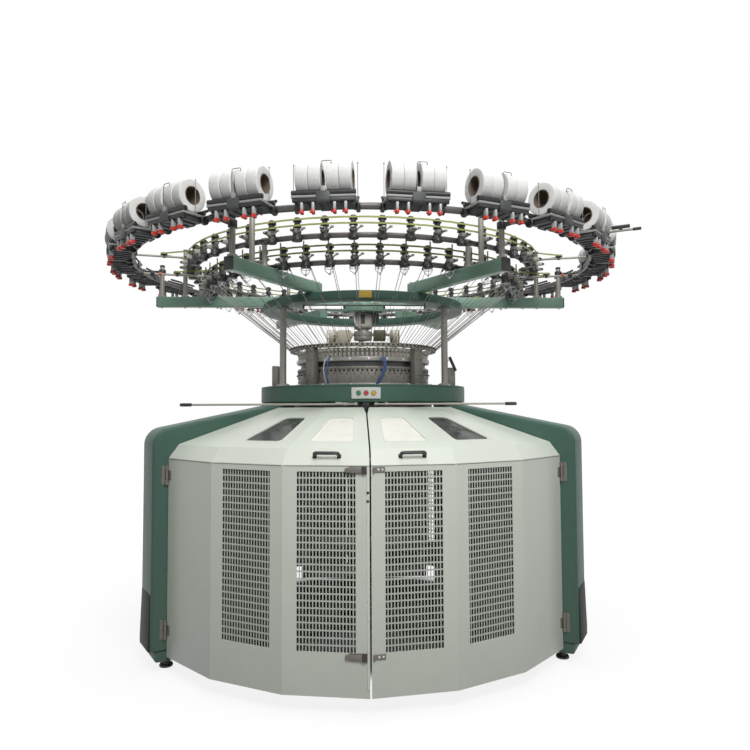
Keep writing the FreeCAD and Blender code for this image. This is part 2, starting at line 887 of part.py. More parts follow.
def needle_cylinder():
    return ring(cylinder_radius, cylinder_radius - cylinder_wall, cylinder_sides, drive_ring_top,
                cylinder_top)


def drive_ring():
    """Ring that carries the cylinder and runs on the underside of the bed."""
    return ring(drive_ring_radius, drive_ring_inner, cylinder_sides,
                drive_ring_top - drive_ring_thickness, drive_ring_top)


def take_down_frame():
    """Two side plates that hang from the drive ring, joined by a foot beam with a shaft."""
    top = drive_ring_top - drive_ring_thickness
    half = side_frame_width / 2
    outer = side_frame_offset + side_frame_thickness / 2
    inner = side_frame_offset - side_frame_thickness / 2
    foot_half = side_frame_foot_width / 2
    body = block(-outer, outer, -foot_beam_width / 2, foot_beam_width / 2,
                 side_frame_foot, side_frame_foot + foot_beam_height)
    for side in (-1, 1):
        x0 = min(side * inner, side * outer)
        plate = face_of([(x0, -half, top), (x0, half, top), (x0, foot_half, side_frame_foot),
                         (x0, -foot_half, side_frame_foot)])
        body = body.fuse(plate.extrude(FreeCAD.Vector(outer - inner, 0, 0)))
    foot = hub_thickness + hub_boss_height + running_gap
    shaft = round_bar(shaft_radius, (0, 0, foot), (0, 0, side_frame_foot))
    return body.fuse(shaft).removeSplitter()


def take_down_rollers():
    """Rollers that pull the fabric down, and the one that winds it up."""
    inner = side_frame_offset - side_frame_thickness / 2
    found = []
    for y, z, radius in take_down_places:
        found.append(bar_between(radius, roller_bar_sides, (-inner, y, z), (inner, y, z)))
    return compound(found)


def fan_carrier():
    """Collar that turns on the gearbox's stem, with two arms."""
    collar = many_sided(fan_collar_radius, fan_sides, fan_height, fan_height + fan_collar_height)
    end = fan_tip_radius - fan_radius
    half = fan_arm_width / 2
    low = fan_height + fan_arm_rise
    arm = block(-end, end, -half, half, low, low + fan_arm_width)
    bore = round_bar(gearbox_stem_radius + running_gap, (0, 0, fan_height - 1),
                     (0, 0, fan_height + fan_collar_height + 1))
    return collar.fuse(arm).cut(bore).removeSplitter()


def fan_guards():
    """Two round fan housings on the carrier's arms."""
    height = fan_height - fan_drop
    found = []
    for side in (-1, 1):
        start = side * (fan_tip_radius - fan_radius)
        end = side * fan_tip_radius
        found.append(bar_between(fan_radius, fan_sides, (start, 0, height), (end, 0, height)))
    return compound(found)


def stop_rods():
    """Two long rods under the rim of the bed, on small hangers, each with a grip."""
    found = []
    half = hanger_width / 2
    for start, end, side in ((rod_left_end, -rod_middle, -1), (rod_middle, rod_right_end, 1)):
        bar = bar_between(rod_radius, rod_sides, (start, -rod_offset, rod_height),
                          (end, -rod_offset, rod_height))
        for place in (rod_middle, 2 * rod_middle):
            x = side * place
            bar = bar.fuse(block(x - half, x + half, -rod_offset - half, -rod_offset + half,
                                 rod_height, bed_underside))
        found.append(bar.removeSplitter())
    return compound(found)


def rod_grips():
    found = []
    for x, side in ((rod_left_end, -1), (rod_right_end, 1)):
        found.append(bar_between(grip_radius, rod_sides, (x, -rod_offset, rod_height),
                                 (x + side * grip_length, -rod_offset, rod_height)))
    return compound(found)


def control_panel():
    y = -bed_radius * math.cos(math.pi / bed_sides)
    z = bed_underside + bed_thickness / 2
    half = panel_width / 2
    return block(-half, half, y - panel_thickness, y, z - panel_height / 2, z + panel_height / 2)


def push_buttons():
    y = -bed_radius * math.cos(math.pi / bed_sides) - panel_thickness
    z = bed_underside + bed_thickness / 2
    found = []
    for place in (-1, 0, 1):
        x = place * button_pitch
        found.append(bar_between(button_radius, button_sides, (x, y, z), (x, y - button_height, z)))
    return compound(found)


def yarn_tubes():
    """Straight plastic tubes from the lower ring down to the guide rail."""
    step = 360.0 / tubes
    turn = math.radians(step / 2)
    slack = tube_size / 2 * math.tan(turn)
    pipe_inside = (lower_ring_radius - feeder_pipe_radius) * math.cos(math.pi / ring_sides)
    outer = pipe_inside / math.cos(turn) - slack
    inner = guide_rail_radius * math.cos(math.pi / guide_sides) / math.cos(turn) + slack
    low = guide_post_top + guide_rail_height / 2
    high = lower_ring_height - tube_size
    half = tube_size / 2
    side = face_of([(-half, -outer, high), (-half, -outer, high + tube_size),
                    (-half, -inner, low + tube_size), (-half, -inner, low)])
    tube = side.extrude(FreeCAD.Vector(tube_size, 0, 0))
    return compound([turned(tube, (i + 0.5) * step) for i in range(tubes)])


def tension_rods():
    """Rods that stick out past the creel on each side, clamped to the feeder rings between the belts."""
    found = []
    flat = math.cos(math.pi / ring_sides)
    pipe_flat = feeder_pipe_radius * math.cos(math.pi / pipe_sides)
    half = tension_clamp / 2
    for azimuth in tension_azimuths:
        for radius, height, end in (
                (lower_ring_radius, lower_ring_height, tension_lower_end_radius),
                (upper_ring_pipe_radius, upper_ring_pipe_height, tension_upper_end_radius)):
            y = radius * flat
            level = height + belt_rise + belt_spacing / 2
            bar = bar_between(tension_radius, rod_sides, (0, -y + half, level), (0, -end, level))
            clamp = block(-half / 2, half / 2, -y - half / 2, -y + half, height + pipe_flat, level)
            found.append(turned(bar.fuse(clamp).removeSplitter(), azimuth))
    ring_top = spool_ring_height + spool_pipe_radius * math.cos(math.pi / pipe_sides)
    level = ring_top + top_rod_rise
    bar = bar_between(tension_radius, rod_sides, (0, -top_rod_start_radius, level),
                      (0, -top_rod_end_radius, level))
    clamp = block(-half / 2, half / 2, -spool_ring_radius - half / 2, -spool_ring_radius + half / 2,
                  ring_top, level)
    found.append(turned(bar.fuse(clamp).removeSplitter(), top_rod_azimuth))
    return compound(found)


def main():
    os.makedirs("parts", exist_ok=True)
    save("base_tripod", base_tripod())
    for name, azimuth in zip(("left_leg", "right_leg", "rear_leg"), leg_azimuths):
        save(name, turned(leg(), azimuth))
    save("levelling_feet", levelling_feet())
    save("bed_plate", ring(bed_radius, bed_bore, bed_sides, bed_underside, bed_top))
    save("cam_base_ring", ring(cam_base_radius, cam_bore, cam_box_sides, bed_top, cam_base_top))
    save("cam_boxes", ring(cam_box_radius, cam_bore, cam_box_sides, cam_base_top, cam_box_top))
    plate_radius = guide_post_inner / math.cos(math.pi / guide_sides)
    save("guide_plate", ring(plate_radius, plate_bore, guide_sides, head_plate_underside, head_plate_top))
    save("guide_posts", guide_posts())
    save("guide_rail", ring(guide_rail_radius, guide_post_inner, guide_sides, guide_post_top,
                            guide_post_top + guide_rail_height))
    save("yarn_guides", ring(guide_band_radius, plate_bore, guide_sides, head_plate_top,
                             head_plate_top + guide_band_height))
    save("columns", columns())
    save("upper_ring", ring(upper_ring_radius, upper_ring_inner, bed_sides, upper_ring_underside,
                            upper_ring_top))
    save("ring_spider", ring_spider())
    save("centre_gearbox", centre_gearbox())
    save("radial_arms", radial_arms())
    save("arm_end_caps", arm_end_caps())
    save("ring_posts", ring_posts())
    save("spool_ring", pipe_ring(spool_ring_radius, spool_ring_height, spool_pipe_radius, 0.0))
    save("lower_feeder_ring", pipe_ring(lower_ring_radius, lower_ring_height, feeder_pipe_radius))
    save("upper_feeder_ring", pipe_ring(upper_ring_pipe_radius, upper_ring_pipe_height,
                                        feeder_pipe_radius))
    save("feeder_belts", feeder_belts())
    save("lower_feeders", storage_feeders(lower_ring_radius, lower_ring_height))
    save("upper_feeders", storage_feeders(upper_ring_pipe_radius, upper_ring_pipe_height))
    save("spool_frames", spool_frames())
    save("spool_rollers", spool_rollers())
    save("elastane_spools", elastane_spools())
    save("yarn_tubes", yarn_tubes())
    save("tension_rods", tension_rods())
    save("control_panel", control_panel())
    save("push_buttons", push_buttons())
    save("stop_rods", stop_rods())
    save("rod_grips", rod_grips())

    half = door_apothem * math.tan(math.radians(half_facet))
    latch_end = half - latch_inset
    front = (mesh_columns, mesh_rows, True)
    for name, shape in leaf_parts("left_door", latch_end - latch_width, latch_end, *front).items():
        save(name, shape)
    for name, shape in leaf_parts("right_door", latch_end - keeper_width, latch_end, *front).items():
        save(name, mirrored(shape))
    rear = (rear_mesh_columns, rear_mesh_rows, False)
    left = leaf_parts("rear_door", latch_end - latch_width, latch_end, *rear)
    right = leaf_parts("rear_door", latch_end - keeper_width, latch_end, *rear)
    for name, shape in left.items():
        solids = []
        for azimuth in rear_azimuths:
            solids += turned(shape, azimuth).Solids
            solids += turned(mirrored(right[name]), azimuth).Solids
        save(name, compound(solids))
    hinges = fixed_hinges(True)
    hinges += [mirrored(piece) for piece in hinges]
    rear_hinges = fixed_hinges(False)
    rear_hinges += [mirrored(piece) for piece in rear_hinges]
    for azimuth in rear_azimuths:
        hinges += [turned(piece, azimuth) for piece in rear_hinges]
    save("door_hinges", compound(hinges))

    save("needle_cylinder", needle_cylinder())
    save("drive_ring", drive_ring())
    save("take_down_frame", take_down_frame())
    save("take_down_rollers", take_down_rollers())
    save("fan_carrier", fan_carrier())
    save("fan_guards", fan_guards())


main()
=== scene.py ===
"""Looks of a large-diameter circular knitting machine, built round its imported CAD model.

The origin is on the machine's axis at floor level, +Z is up and the front faces -Y. Azimuths are
counted in degrees from the front, positive towards +X. Surfaces are worked out in millimetres and
become metres when their mesh is made.
"""
import math

import bpy
import numpy as np
from mathutils import Matrix


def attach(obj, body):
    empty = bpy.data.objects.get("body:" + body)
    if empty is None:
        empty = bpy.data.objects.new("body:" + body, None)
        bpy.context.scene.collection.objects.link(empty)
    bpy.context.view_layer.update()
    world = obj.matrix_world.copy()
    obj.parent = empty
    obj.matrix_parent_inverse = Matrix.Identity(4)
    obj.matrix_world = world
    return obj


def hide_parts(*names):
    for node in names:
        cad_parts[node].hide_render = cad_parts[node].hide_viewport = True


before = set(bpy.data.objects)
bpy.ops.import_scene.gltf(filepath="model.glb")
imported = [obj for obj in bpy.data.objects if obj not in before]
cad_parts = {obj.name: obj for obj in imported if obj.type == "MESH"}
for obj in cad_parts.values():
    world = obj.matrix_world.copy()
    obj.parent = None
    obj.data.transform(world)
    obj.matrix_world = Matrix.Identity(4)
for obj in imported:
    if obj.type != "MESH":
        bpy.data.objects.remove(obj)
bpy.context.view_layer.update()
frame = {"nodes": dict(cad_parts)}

bl_info = {
    "name": "Circular knitting machine looks",
    "version": (1, 0, 0),
    "blender": (4, 5, 0),
    "location": "View3D > Sidebar > Knitting",
    "description": "Builds the machine's visible pieces round its CAD frame",
    "category": "Object",
}

LEGS = np.array([-60.0, 60.0, 180.0])
ARMS = np.array([-150.0, -90.0, -30.0, 30.0, 90.0, 150.0])
LOADED = np.arange(-5, 6)
UP = np.array([0.0, 0.0, 1.0])
SHARP_ANGLE = 35.0


# Surfaces

def skin(rows, closed=False):
    """Quads between the neighbours of a grid of points (rows, columns, 3).

    The last column joins the first. Open rows end in one flat face each, closed rows join up.
    """
    r, c = rows.shape[:2]
    index = np.arange(r * c).reshape(r, c)
    across = np.roll(index, -1, axis=1)
    if closed:
        above, above_across = np.roll(index, -1, axis=0), np.roll(across, -1, axis=0)
        quads = np.stack([index, across, above_across, above], -1)
    else:
        quads = np.stack([index[:-1], across[:-1], across[1:], index[1:]], -1)
    faces = [quads.reshape(-1, 4)]
    if not closed:
        faces += [index[:1, ::-1], index[-1:]]
    return outward((rows.reshape(-1, 3), faces))


def outward(shell):
    """The shell with faces outwards, told by its volume: the sum of a . (b x c) / 6 over fans."""
    points, faces = shell
    middle = points.mean(0)
    volume = 0.0
    for face in faces:
        a = points[face[:, :1]] - middle
        b = points[face[:, 1:-1]] - middle
        c = points[face[:, 2:]] - middle
        volume += np.einsum("ijk,ijk->", np.broadcast_to(a, b.shape), np.cross(b, c))
    return (points, faces) if volume > 0 else (points, [face[:, ::-1] for face in faces])


def eased(outline, radius, steps=3, closed=True):
    """An outline with rounded corners.

    At a corner P the curve (1-s)^2 A + 2s(1-s) P + s^2 C runs between the points A and C that lie
    a radius away on the two edges, or half an edge away where that is less.
    """
    p = np.asarray(outline, float)
    before, after = np.roll(p, 1, 0) - p, np.roll(p, -1, 0) - p
    lb = np.linalg.norm(before, axis=1)[:, None]
    la = np.linalg.norm(after, axis=1)[:, None]
    reach = np.broadcast_to(np.asarray(radius, float).reshape(-1, 1), (len(p), 1)).copy()
    if not closed:
        reach[[0, -1]] = 0.0
    a = p + before / lb * np.minimum(reach, lb * 0.499)
    c = p + after / la * np.minimum(reach, la * 0.499)
    s = np.linspace(0, 1, steps + 1)[None, :, None]
    curve = (1 - s) ** 2 * a[:, None] + 2 * s * (1 - s) * p[:, None] + s ** 2 * c[:, None]
    flat = curve.reshape(-1, p.shape[1])
    keep = np.linalg.norm(flat - np.roll(flat, 1, 0), axis=1) > 1e-6
    if not closed:
        keep[0] = True
    return flat[keep]


def corners(x, y):
    """Corners of a rectangle between two pairs of limits, counter-clockwise."""
    return [(x[0], y[0]), (x[1], y[0]), (x[1], y[1]), (x[0], y[1])]


def rectangle(width, height, x=0.0, y=0.0):
    """Corners of a rectangle about a middle point, counter-clockwise."""
    signs = np.array([(-1, -1), (1, -1), (1, 1), (-1, 1)])
    return signs * (width / 2, height / 2) + (x, y)


def circle(radius, sides):
    """Points r (cos a, sin a) at even steps of a."""
    a = np.arange(sides) * 2 * np.pi / sides
    return radius * np.stack([np.cos(a), np.sin(a)], 1)


def lathe(profile, sides, closed=False):
    """A profile of (radius, height) points turned about the upright axis: (r cos a, r sin a, z)."""
    p = np.asarray(profile, float)
    ring = circle(1.0, sides)
    rows = np.concatenate([p[:, None, :1] * ring[None], np.broadcast_to(
        p[:, None, 1:], (len(p), sides, 1))], -1)
    return skin(rows, closed)


def band(inner, outer, low, high, edge, sides, steps=2):
    """A flat ring with rounded edges: a rectangle of radii and heights, turned."""
    section = eased(corners((inner, outer), (low, high)), edge, steps)
    return lathe(section, sides, closed=True)


def rod(radius, length, edge=0.0, sides=16):
    """A round bar along +Z from 0, drawn in by its edge at both ends."""
    if edge:
        return lathe([(radius - edge, 0), (radius, edge), (radius, length - edge),
                      (radius - edge, length)], sides)
    return lathe([(radius, 0), (radius, length)], sides)


def sweep(outline, path, up=UP):
    """An outline carried along a path: p + x side + y lift.

    side is at right angles to the path and to up, lift is at right angles to the path and side.
    """
    path = np.asarray(path, float)
    tangent = np.gradient(path, axis=0)
    tangent /= np.linalg.norm(tangent, axis=1)[:, None]
    side = np.cross(tangent, np.broadcast_to(up, tangent.shape))
    side /= np.linalg.norm(side, axis=1)[:, None]
    lift = np.cross(side, tangent)
    o = np.asarray(outline, float)
    rows = path[:, None] + o[None, :, :1] * side[:, None] + o[None, :, 1:] * lift[:, None]
    return skin(rows)


def slab(outline, low, high, edge, steps=2):
    """An outline given thickness from low to high, with a rounded rim.

    Near both ends each point moves in along the mitre of its two edges by edge (1 - sin t) while
    the height goes by edge (1 - cos t), a quarter circle.
    """
    p = np.asarray(outline, float)
    ahead = np.roll(p, -1, 0) - p
    ahead /= np.linalg.norm(ahead, axis=1)[:, None]
    inward = np.stack([-ahead[:, 1], ahead[:, 0]], 1)
    behind = np.roll(inward, 1, 0)
    mitre = (inward + behind) / (1 + np.sum(inward * behind, 1))[:, None]
    t = np.linspace(0, np.pi / 2, steps + 1)
    inset = np.concatenate([edge * (1 - np.sin(t)), edge * (1 - np.sin(t))[::-1]])
    height = np.concatenate([low + edge * (1 - np.cos(t)), (high - edge * (1 - np.cos(t)))[::-1]])
    flat = p[None] + mitre[None] * inset[:, None, None]
    rows = np.concatenate([flat, np.broadcast_to(height[:, None, None], (*flat.shape[:2], 1))], -1)
    return skin(rows)


def block(x, y, z, edge=2.0, steps=1):
    """A box between pairs of limits with every edge rounded."""
    return slab(eased(corners(x, y), edge * 1.5, steps), z[0], z[1], edge, steps)


def plate_with_slots(width, height, across, down, slot_width, slot_height, thickness):
    """A sheet with a grid of straight-sided slots, about the middle of its lower edge.

    Both faces share one grid of lines, cells that are slots are left out, and every cell's side
    between sheet and slot or rim gets a wall.
    """
    def lines(length, count, gap):
        pitch = length / count
        start = (np.arange(count) + 0.5) * pitch - gap / 2
        return np.concatenate([[0], np.stack([start, start + gap], 1).ravel(), [length]])
    xs = lines(width, across, slot_width) - width / 2
    ys = lines(height, down, slot_height)
    nx, ny = len(xs), len(ys)
    gx, gy = np.meshgrid(xs, ys, indexing="ij")
    front = np.stack([gx, gy, np.zeros_like(gx)], -1).reshape(-1, 3)
    points = np.concatenate([front, front - (0, 0, thickness)])
    index = np.arange(nx * ny).reshape(nx, ny)
    odd_x = np.arange(nx - 1)[:, None] % 2 == 1
    odd_y = np.arange(ny - 1)[None] % 2 == 1
    sheet = ~(odd_x & odd_y)
    cell = np.stack([index[:-1, :-1], index[1:, :-1], index[1:, 1:], index[:-1, 1:]], -1)
    quads = cell[sheet]
    faces = [quads, quads[:, ::-1] + nx * ny]
    padded = np.pad(sheet, 1)
    here = padded[1:-1, 1:-1]
    for k, (dx, dy) in enumerate(((0, -1), (1, 0), (0, 1), (-1, 0))):
        beside = padded[1 + dx:padded.shape[0] - 1 + dx, 1 + dy:padded.shape[1] - 1 + dy]
        edge = cell[here & ~beside]
        a, b = edge[:, k], edge[:, (k + 1) % 4]
        faces.append(np.stack([b, a, a + nx * ny, b + nx * ny], -1))
    return outward((points, faces))


def axes(x, y, z):
    """A turn given by where the three axes go."""
    return np.stack([np.asarray(x, float), np.asarray(y, float), np.asarray(z, float)], 1)


def towards(direction, up=UP):
    """A turn that takes +Z to a direction, with +Y kept near up."""
    z = np.asarray(direction, float)
    z = z / np.linalg.norm(z)
    if abs(np.dot(z, up)) > 0.99:
        up = np.array([0.0, 1.0, 0.0])
    x = np.cross(up, z)
    x /= np.linalg.norm(x)
    return axes(x, np.cross(z, x), z)


# Where an outline's own x, y and thickness go: seen from the side, from the right, or the front
SIDE_VIEW = axes((0, -1, 0), (0, 0, 1), (-1, 0, 0))
END_VIEW = axes((0, 1, 0), (0, 0, 1), (1, 0, 0))
FRONT_VIEW = axes((1, 0, 0), (0, 0, 1), (0, -1, 0))

# Turns of what is made along +Z
FRONT = towards((0, -1, 0))
BACK = towards((0, 1, 0))
RIGHT = towards((1, 0, 0))
DOWN = towards((0, 0, -1))


def put(shell, origin=(0, 0, 0), turn=None):
    """The shell turned, then moved."""
    points, faces = shell
    if turn is not None:
        points = points @ np.asarray(turn).T
    return points + np.asarray(origin, float), faces


def bar(radius, start, end, sides=12, edge=0.0):
    """A round bar from start to end."""
    start = np.asarray(start, float)
    along = np.asarray(end, float) - start
    return put(rod(radius, np.linalg.norm(along), edge, sides), start, towards(along))


def turns(azimuths):
    """Turns about the upright axis that take the front to each azimuth."""
    a = np.radians(np.atleast_1d(azimuths))
    c, s, zero, one = np.cos(a), np.sin(a), np.zeros_like(a), np.ones_like(a)
    return np.stack([c, -s, zero, s, c, zero, zero, zero, one], 1).reshape(-1, 3, 3)


def steps_of(count):
    """Azimuths at even steps, the first at the front."""
    return np.arange(count) * 360.0 / count


def spread(shell, turn, origins=None):
    """Copies of a shell, one for each turn and origin: R p + o."""
    points, faces = shell
    moved = np.einsum("kij,nj->kni", np.asarray(turn), points)
    if origins is not None:
        moved = moved + np.asarray(origins, float)[:, None]
    shift = (np.arange(len(moved)) * len(points))[:, None, None]
    return moved.reshape(-1, 3), [(f[None] + shift).reshape(-1, f.shape[1]) for f in faces]


def round_about(shell, azimuths):
    """Copies of a shell made at the front, one at each azimuth."""
    return spread(shell, turns(azimuths))


def at_points(shell, origins, turn=None):
    """Copies of a shell at several places, all turned alike."""
    origins = np.atleast_2d(np.asarray(origins, float))
    turn = np.eye(3) if turn is None else turn
    return spread(shell, np.broadcast_to(turn, (len(origins), 3, 3)), origins)


def mirrored(shell):
    """The shell on the other side of the machine's middle plane, with its faces still outwards."""
    points, faces = shell
    return points * (-1, 1, 1), [face[:, ::-1] for face in faces]


def polar(radius, azimuth, z=0.0):
    """A point in space at a radius, an azimuth and a height."""
    a = np.radians(azimuth)
    x, y = radius * np.sin(a), -radius * np.cos(a)
    return np.stack(np.broadcast_arrays(x, y, np.asarray(z, float)), -1)


def joined(*shells):
    """Several shells as one."""
    points, faces, count = [], [], 0
    for p, f in shells:
        points.append(p)
        faces += [face + count for face in f]
        count += len(p)
    return np.concatenate(points), faces


def hex_bolt(radius, height):
    """A washer and a six-sided head with a drawn-in top, standing on the plane z = 0."""
    washer = lathe([(radius * 1.35, 0), (radius * 1.35, height * 0.2)], 12)
    head = lathe([(radius, height * 0.2), (radius, height * 0.85), (radius * 0.8, height)], 6)
    return joined(washer, head)


def cap_screw(radius, height):
    """A round screw head with a recess: its profile goes up the side, over the rim and down."""
    return lathe([(radius, 0), (radius, height * 0.85), (radius * 0.85, height),
                  (radius * 0.5, height), (radius * 0.45, height * 0.4)], 10)


def make(name, finish_name, slot, *shells, body="root", about=None, node=""):
    """One piece from its shells, in metres, riding on a body and standing for a CAD node.

    about holds azimuths, with a copy of the shells at each one.
    """
    points, faces = joined(*shells)
    if about is not None:
        points, faces = round_about((points, faces), about)
    mesh = bpy.data.meshes.new(name)
    mesh.vertices.add(len(points))
    mesh.vertices.foreach_set("co", (points * 0.001).astype(np.float32).ravel())
    loops = np.concatenate([face.ravel() for face in faces])
    counts = np.concatenate([np.full(len(face), face.shape[1]) for face in faces])
    mesh.loops.add(len(loops))
    mesh.loops.foreach_set("vertex_index", loops.astype(np.int32))
    mesh.polygons.add(len(counts))
    starts = np.concatenate([[0], np.cumsum(counts)[:-1]])
    mesh.polygons.foreach_set("loop_start", starts.astype(np.int32))
    mesh.update(calc_edges=True)
    mesh.validate()
    mesh.polygons.foreach_set("use_smooth", np.ones(len(counts), bool))
    mesh.set_sharp_from_angle(angle=math.radians(SHARP_ANGLE))
    mesh.materials.append(finish(finish_name))
    piece = bpy.data.objects.new(name, mesh)
    bpy.context.scene.collection.objects.link(piece)
    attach(piece, body)
    if node:
        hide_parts(node)
    return piece


def dress(node, finish_name):
    """A CAD node that keeps its shape gets a finish."""
    mesh = frame["nodes"][node].data
    mesh.materials.clear()
    mesh.materials.append(finish(finish_name))


# Finishes

def linear(red, green, blue):
    """A colour written in 0 to 255 as the eye sees it, in linear light."""
    c = np.array([red, green, blue]) / 255.0
    return tuple(float(v) for v in np.where(c <= 0.04045, c / 12.92, ((c + 0.055) / 1.055) ** 2.4))


def math_node(operation, reflected=False):
    """A method that adds the Math node for one of Python's operators."""
    def method(self, other):
        values = (other, self) if reflected else (self, other)
        return self.recipe.node("ShaderNodeMath", {"operation": operation}, dict(enumerate(values)))
    return method


class Wire:
    """A shader socket that Python's arithmetic works on: each operation adds a Math node."""

    def __init__(self, recipe, socket):
        self.recipe = recipe
        self.socket = socket

    __add__ = __radd__ = math_node("ADD")
    __mul__ = __rmul__ = math_node("MULTIPLY")
    __sub__ = math_node("SUBTRACT")
    __rsub__ = math_node("SUBTRACT", reflected=True)
    __pow__ = math_node("POWER")

    def sine(self):
        return self.recipe.node("ShaderNodeMath", {"operation": "SINE"}, {0: self})

    def between(self, low, high):
        """0 below low, 1 above high and a straight ramp in between."""
        return self.recipe.node("ShaderNodeMapRange", {"clamp": True},
                                {"Value": self, "From Min": low, "From Max": high})


class Recipe:
    """The nodes of a material or of the world, round a Principled shader where there is one."""

    def __init__(self, owner):
        owner.use_nodes = True
        self.owner = owner
        self.tree = owner.node_tree
        self.shader = self.tree.nodes.get("Principled BSDF")

    def node(self, kind, settings=None, inputs=None, output=0):
        """Adds a node: its settings first, then the values or links of its sockets."""
        node = self.tree.nodes.new(kind)
        for key, value in (settings or {}).items():
            setattr(node, key, value)
        for key, value in (inputs or {}).items():
            self.plug(node.inputs[key], value)
        return Wire(self, node.outputs[output])

    def plug(self, socket, value):
        if isinstance(value, Wire):
            self.tree.links.new(value.socket, socket)
        else:
            socket.default_value = value

    def set(self, **inputs):
        """Values or links of the shader's own sockets, with spaces written as underscores."""
        for key, value in inputs.items():
            self.plug(self.shader.inputs[key.replace("_", " ")], value)

    def place(self, kind="Object"):
        return self.node("ShaderNodeTexCoord", output=kind)

    def along(self, axis, kind="Object"):
        """One of the three numbers of a place, by the name of its axis."""
        return self.node("ShaderNodeSeparateXYZ", inputs={"Vector": self.place(kind)}, output=axis)

    def noise(self, scale, detail=3.0, stretch=None, rough=0.5):
        """Noise on object coordinates, drawn out along an axis where stretch says so."""
        where = self.place()
        if stretch:
            where = self.node("ShaderNodeMapping", inputs={"Vector": where, "Scale": stretch})
        return self.node("ShaderNodeTexNoise", inputs={
            "Vector": where, "Scale": scale, "Detail": detail, "Roughness": rough})

    def mix(self, factor, first, second):
        """A colour that goes from the first to the second with a factor."""
        pair = [(*c, 1.0) if isinstance(c, tuple) else c for c in (first, second)]
        return self.node("ShaderNodeMix", {"data_type": "RGBA"},
                         {0: factor, 6: pair[0], 7: pair[1]}, output=2)

    def bump(self, height, distance, strength):
        """Relief from a height, as the last step of a material, which it gives back."""
        self.set(Normal=self.node("ShaderNodeBump", inputs={
            "Height": height, "Distance": distance, "Strength": strength}))
        return self.owner


def material(name):
    return Recipe(bpy.data.materials.new(name))


def shade(colour, amount):
    """A colour made darker or lighter by a share."""
    return tuple(min(1.0, c * amount) for c in colour)


def painted(name, colour, roughness=0.4, soil=0.25, low_dust_and_shade=0.0, coat=0.15, gleam=0.5):
    """Baked paint: orange peel, faint cloudiness, rubbed patches, and a grey that deepens towards the floor:
    partly dust, partly painted shade.
    """
    r = material(name)
    cloud = r.noise(2.3, 4.0).between(0.35, 0.7)
    rub = r.noise(38.0, 5.0, rough=0.65).between(0.52, 0.74)
    tone = r.mix(cloud * soil, shade(colour, 1.05), shade(colour, 0.86))
    tone = r.mix(rub * (soil * 0.5), tone, shade(colour, 0.78))
    # Greyer towards the floor: partly dust and partly painted shade, since the sheets read darker low down
    if low_dust_and_shade:
        dust = (1.0 - r.along("Z").between(0.05, 1.1)) * (r.noise(9.0, 4.0) * 0.6 + 0.7) * low_dust_and_shade
        tone = r.mix(dust, tone, linear(150, 152, 143))
    r.set(Base_Color=tone, Roughness=cloud * 0.08 + rub * 0.1 + (roughness - 0.06),
          Coat_Weight=coat, Coat_Roughness=0.25, Specular_IOR_Level=gleam)
    return r.bump(r.noise(420.0, 2.0), 0.0004, 0.35)


def metal(name, colour, roughness=0.35, stretch=(1.0, 1.0, 0.04), polish=1.0):
    """Worked metal: fine drawn-out marks, stains and a little uneven shine."""
    r = material(name)
    grain = r.noise(260.0, 3.0, stretch)
    stain = r.noise(11.0, 4.0).between(0.45, 0.75)
    tone = r.mix(grain, shade(colour, 0.9), shade(colour, 1.08))
    tone = r.mix(stain * 0.3, tone, shade(colour, 0.72))
    r.set(Base_Color=tone, Metallic=polish, Roughness=grain * 0.12 + stain * 0.12 + (roughness - 0.08))
    return r.bump(grain, 0.0002, 0.25)


def moulded(name, colour, roughness=0.45, grain=900.0, wear=0.3):
    """Moulded plastic or rubber: fine grain, dust in patches and worn shine."""
    r = material(name)
    dust = r.noise(24.0, 5.0, rough=0.6).between(0.45, 0.75)
    tone = r.mix(dust * wear, colour, tuple(min(1.0, c * 0.8 + 0.03) for c in colour))
    r.set(Base_Color=tone, Roughness=dust * 0.16 + (roughness - 0.05))
    return r.bump(r.noise(grain, 2.0), 0.0002, 0.3)


def clear(name, colour, alpha, roughness=0.08, haziness=0.4):
    """Thin clear plastic or glass: mostly seen through, with haze in patches."""
    r = material(name)
    haze = r.noise(14.0, 4.0).between(0.35, 0.8)
    r.set(Base_Color=r.mix(haze * haziness, colour, shade(colour, 0.8)),
          Roughness=haze * 0.12 + roughness, Alpha=haze * 0.12 + alpha, Specular_IOR_Level=0.6)
    return r.owner


def wound_yarn():
    """Elastane wound on a cheese: crossing threads from two sets of slanting lines on the UV map."""
    r = material("wound_elastane")
    u, v = r.along("X", "UV"), r.along("Y", "UV")

    def threads(slant):
        return ((v * 180.0 + u * slant) * FULL_TURN).sine()
    weave = threads(9.0) + threads(-9.0)
    soft = r.noise(60.0, 3.0).between(0.3, 0.8)
    tone = r.mix(soft * 0.5 + weave * 0.08, linear(238, 238, 236), linear(214, 213, 208))
    r.set(Base_Color=tone, Roughness=0.78, Sheen_Weight=0.25, Sheen_Roughness=0.5)
    return r.bump(weave, 0.0004, 0.5)


def toothed(name, colour):
    """Flat belt with punched teeth along the turn, told by its UV map."""
    r = material(name)
    mark = (r.along("X", "UV") * (FULL_TURN * BELT_TEETH)).sine().between(-0.3, 0.5)
    worn = r.noise(30.0, 4.0).between(0.4, 0.75)
    tone = r.mix(mark, shade(colour, 0.7), colour)
    tone = r.mix(worn * 0.35, tone, shade(colour, 1.3))
    r.set(Base_Color=tone, Roughness=worn * 0.2 + 0.5)
    return r.bump(mark, 0.0008, 0.6)


def glowing():
    """Light tube: a milky cover lit from within, a little dimmer in patches."""
    r = material("light_tube")
    even = r.noise(20.0).between(0.2, 0.9)
    white = r.mix(even * 0.15, linear(255, 255, 252), linear(235, 240, 240))
    r.set(Base_Color=white, Emission_Color=white, Emission_Strength=0.7, Roughness=0.4)
    return r.owner


def own(name, amount=1.0):
    """One of the colours that a user can set, read when its finish is made."""
    return lambda: shade(tuple(getattr(bpy.context.scene.knitting_colours, name)), amount)


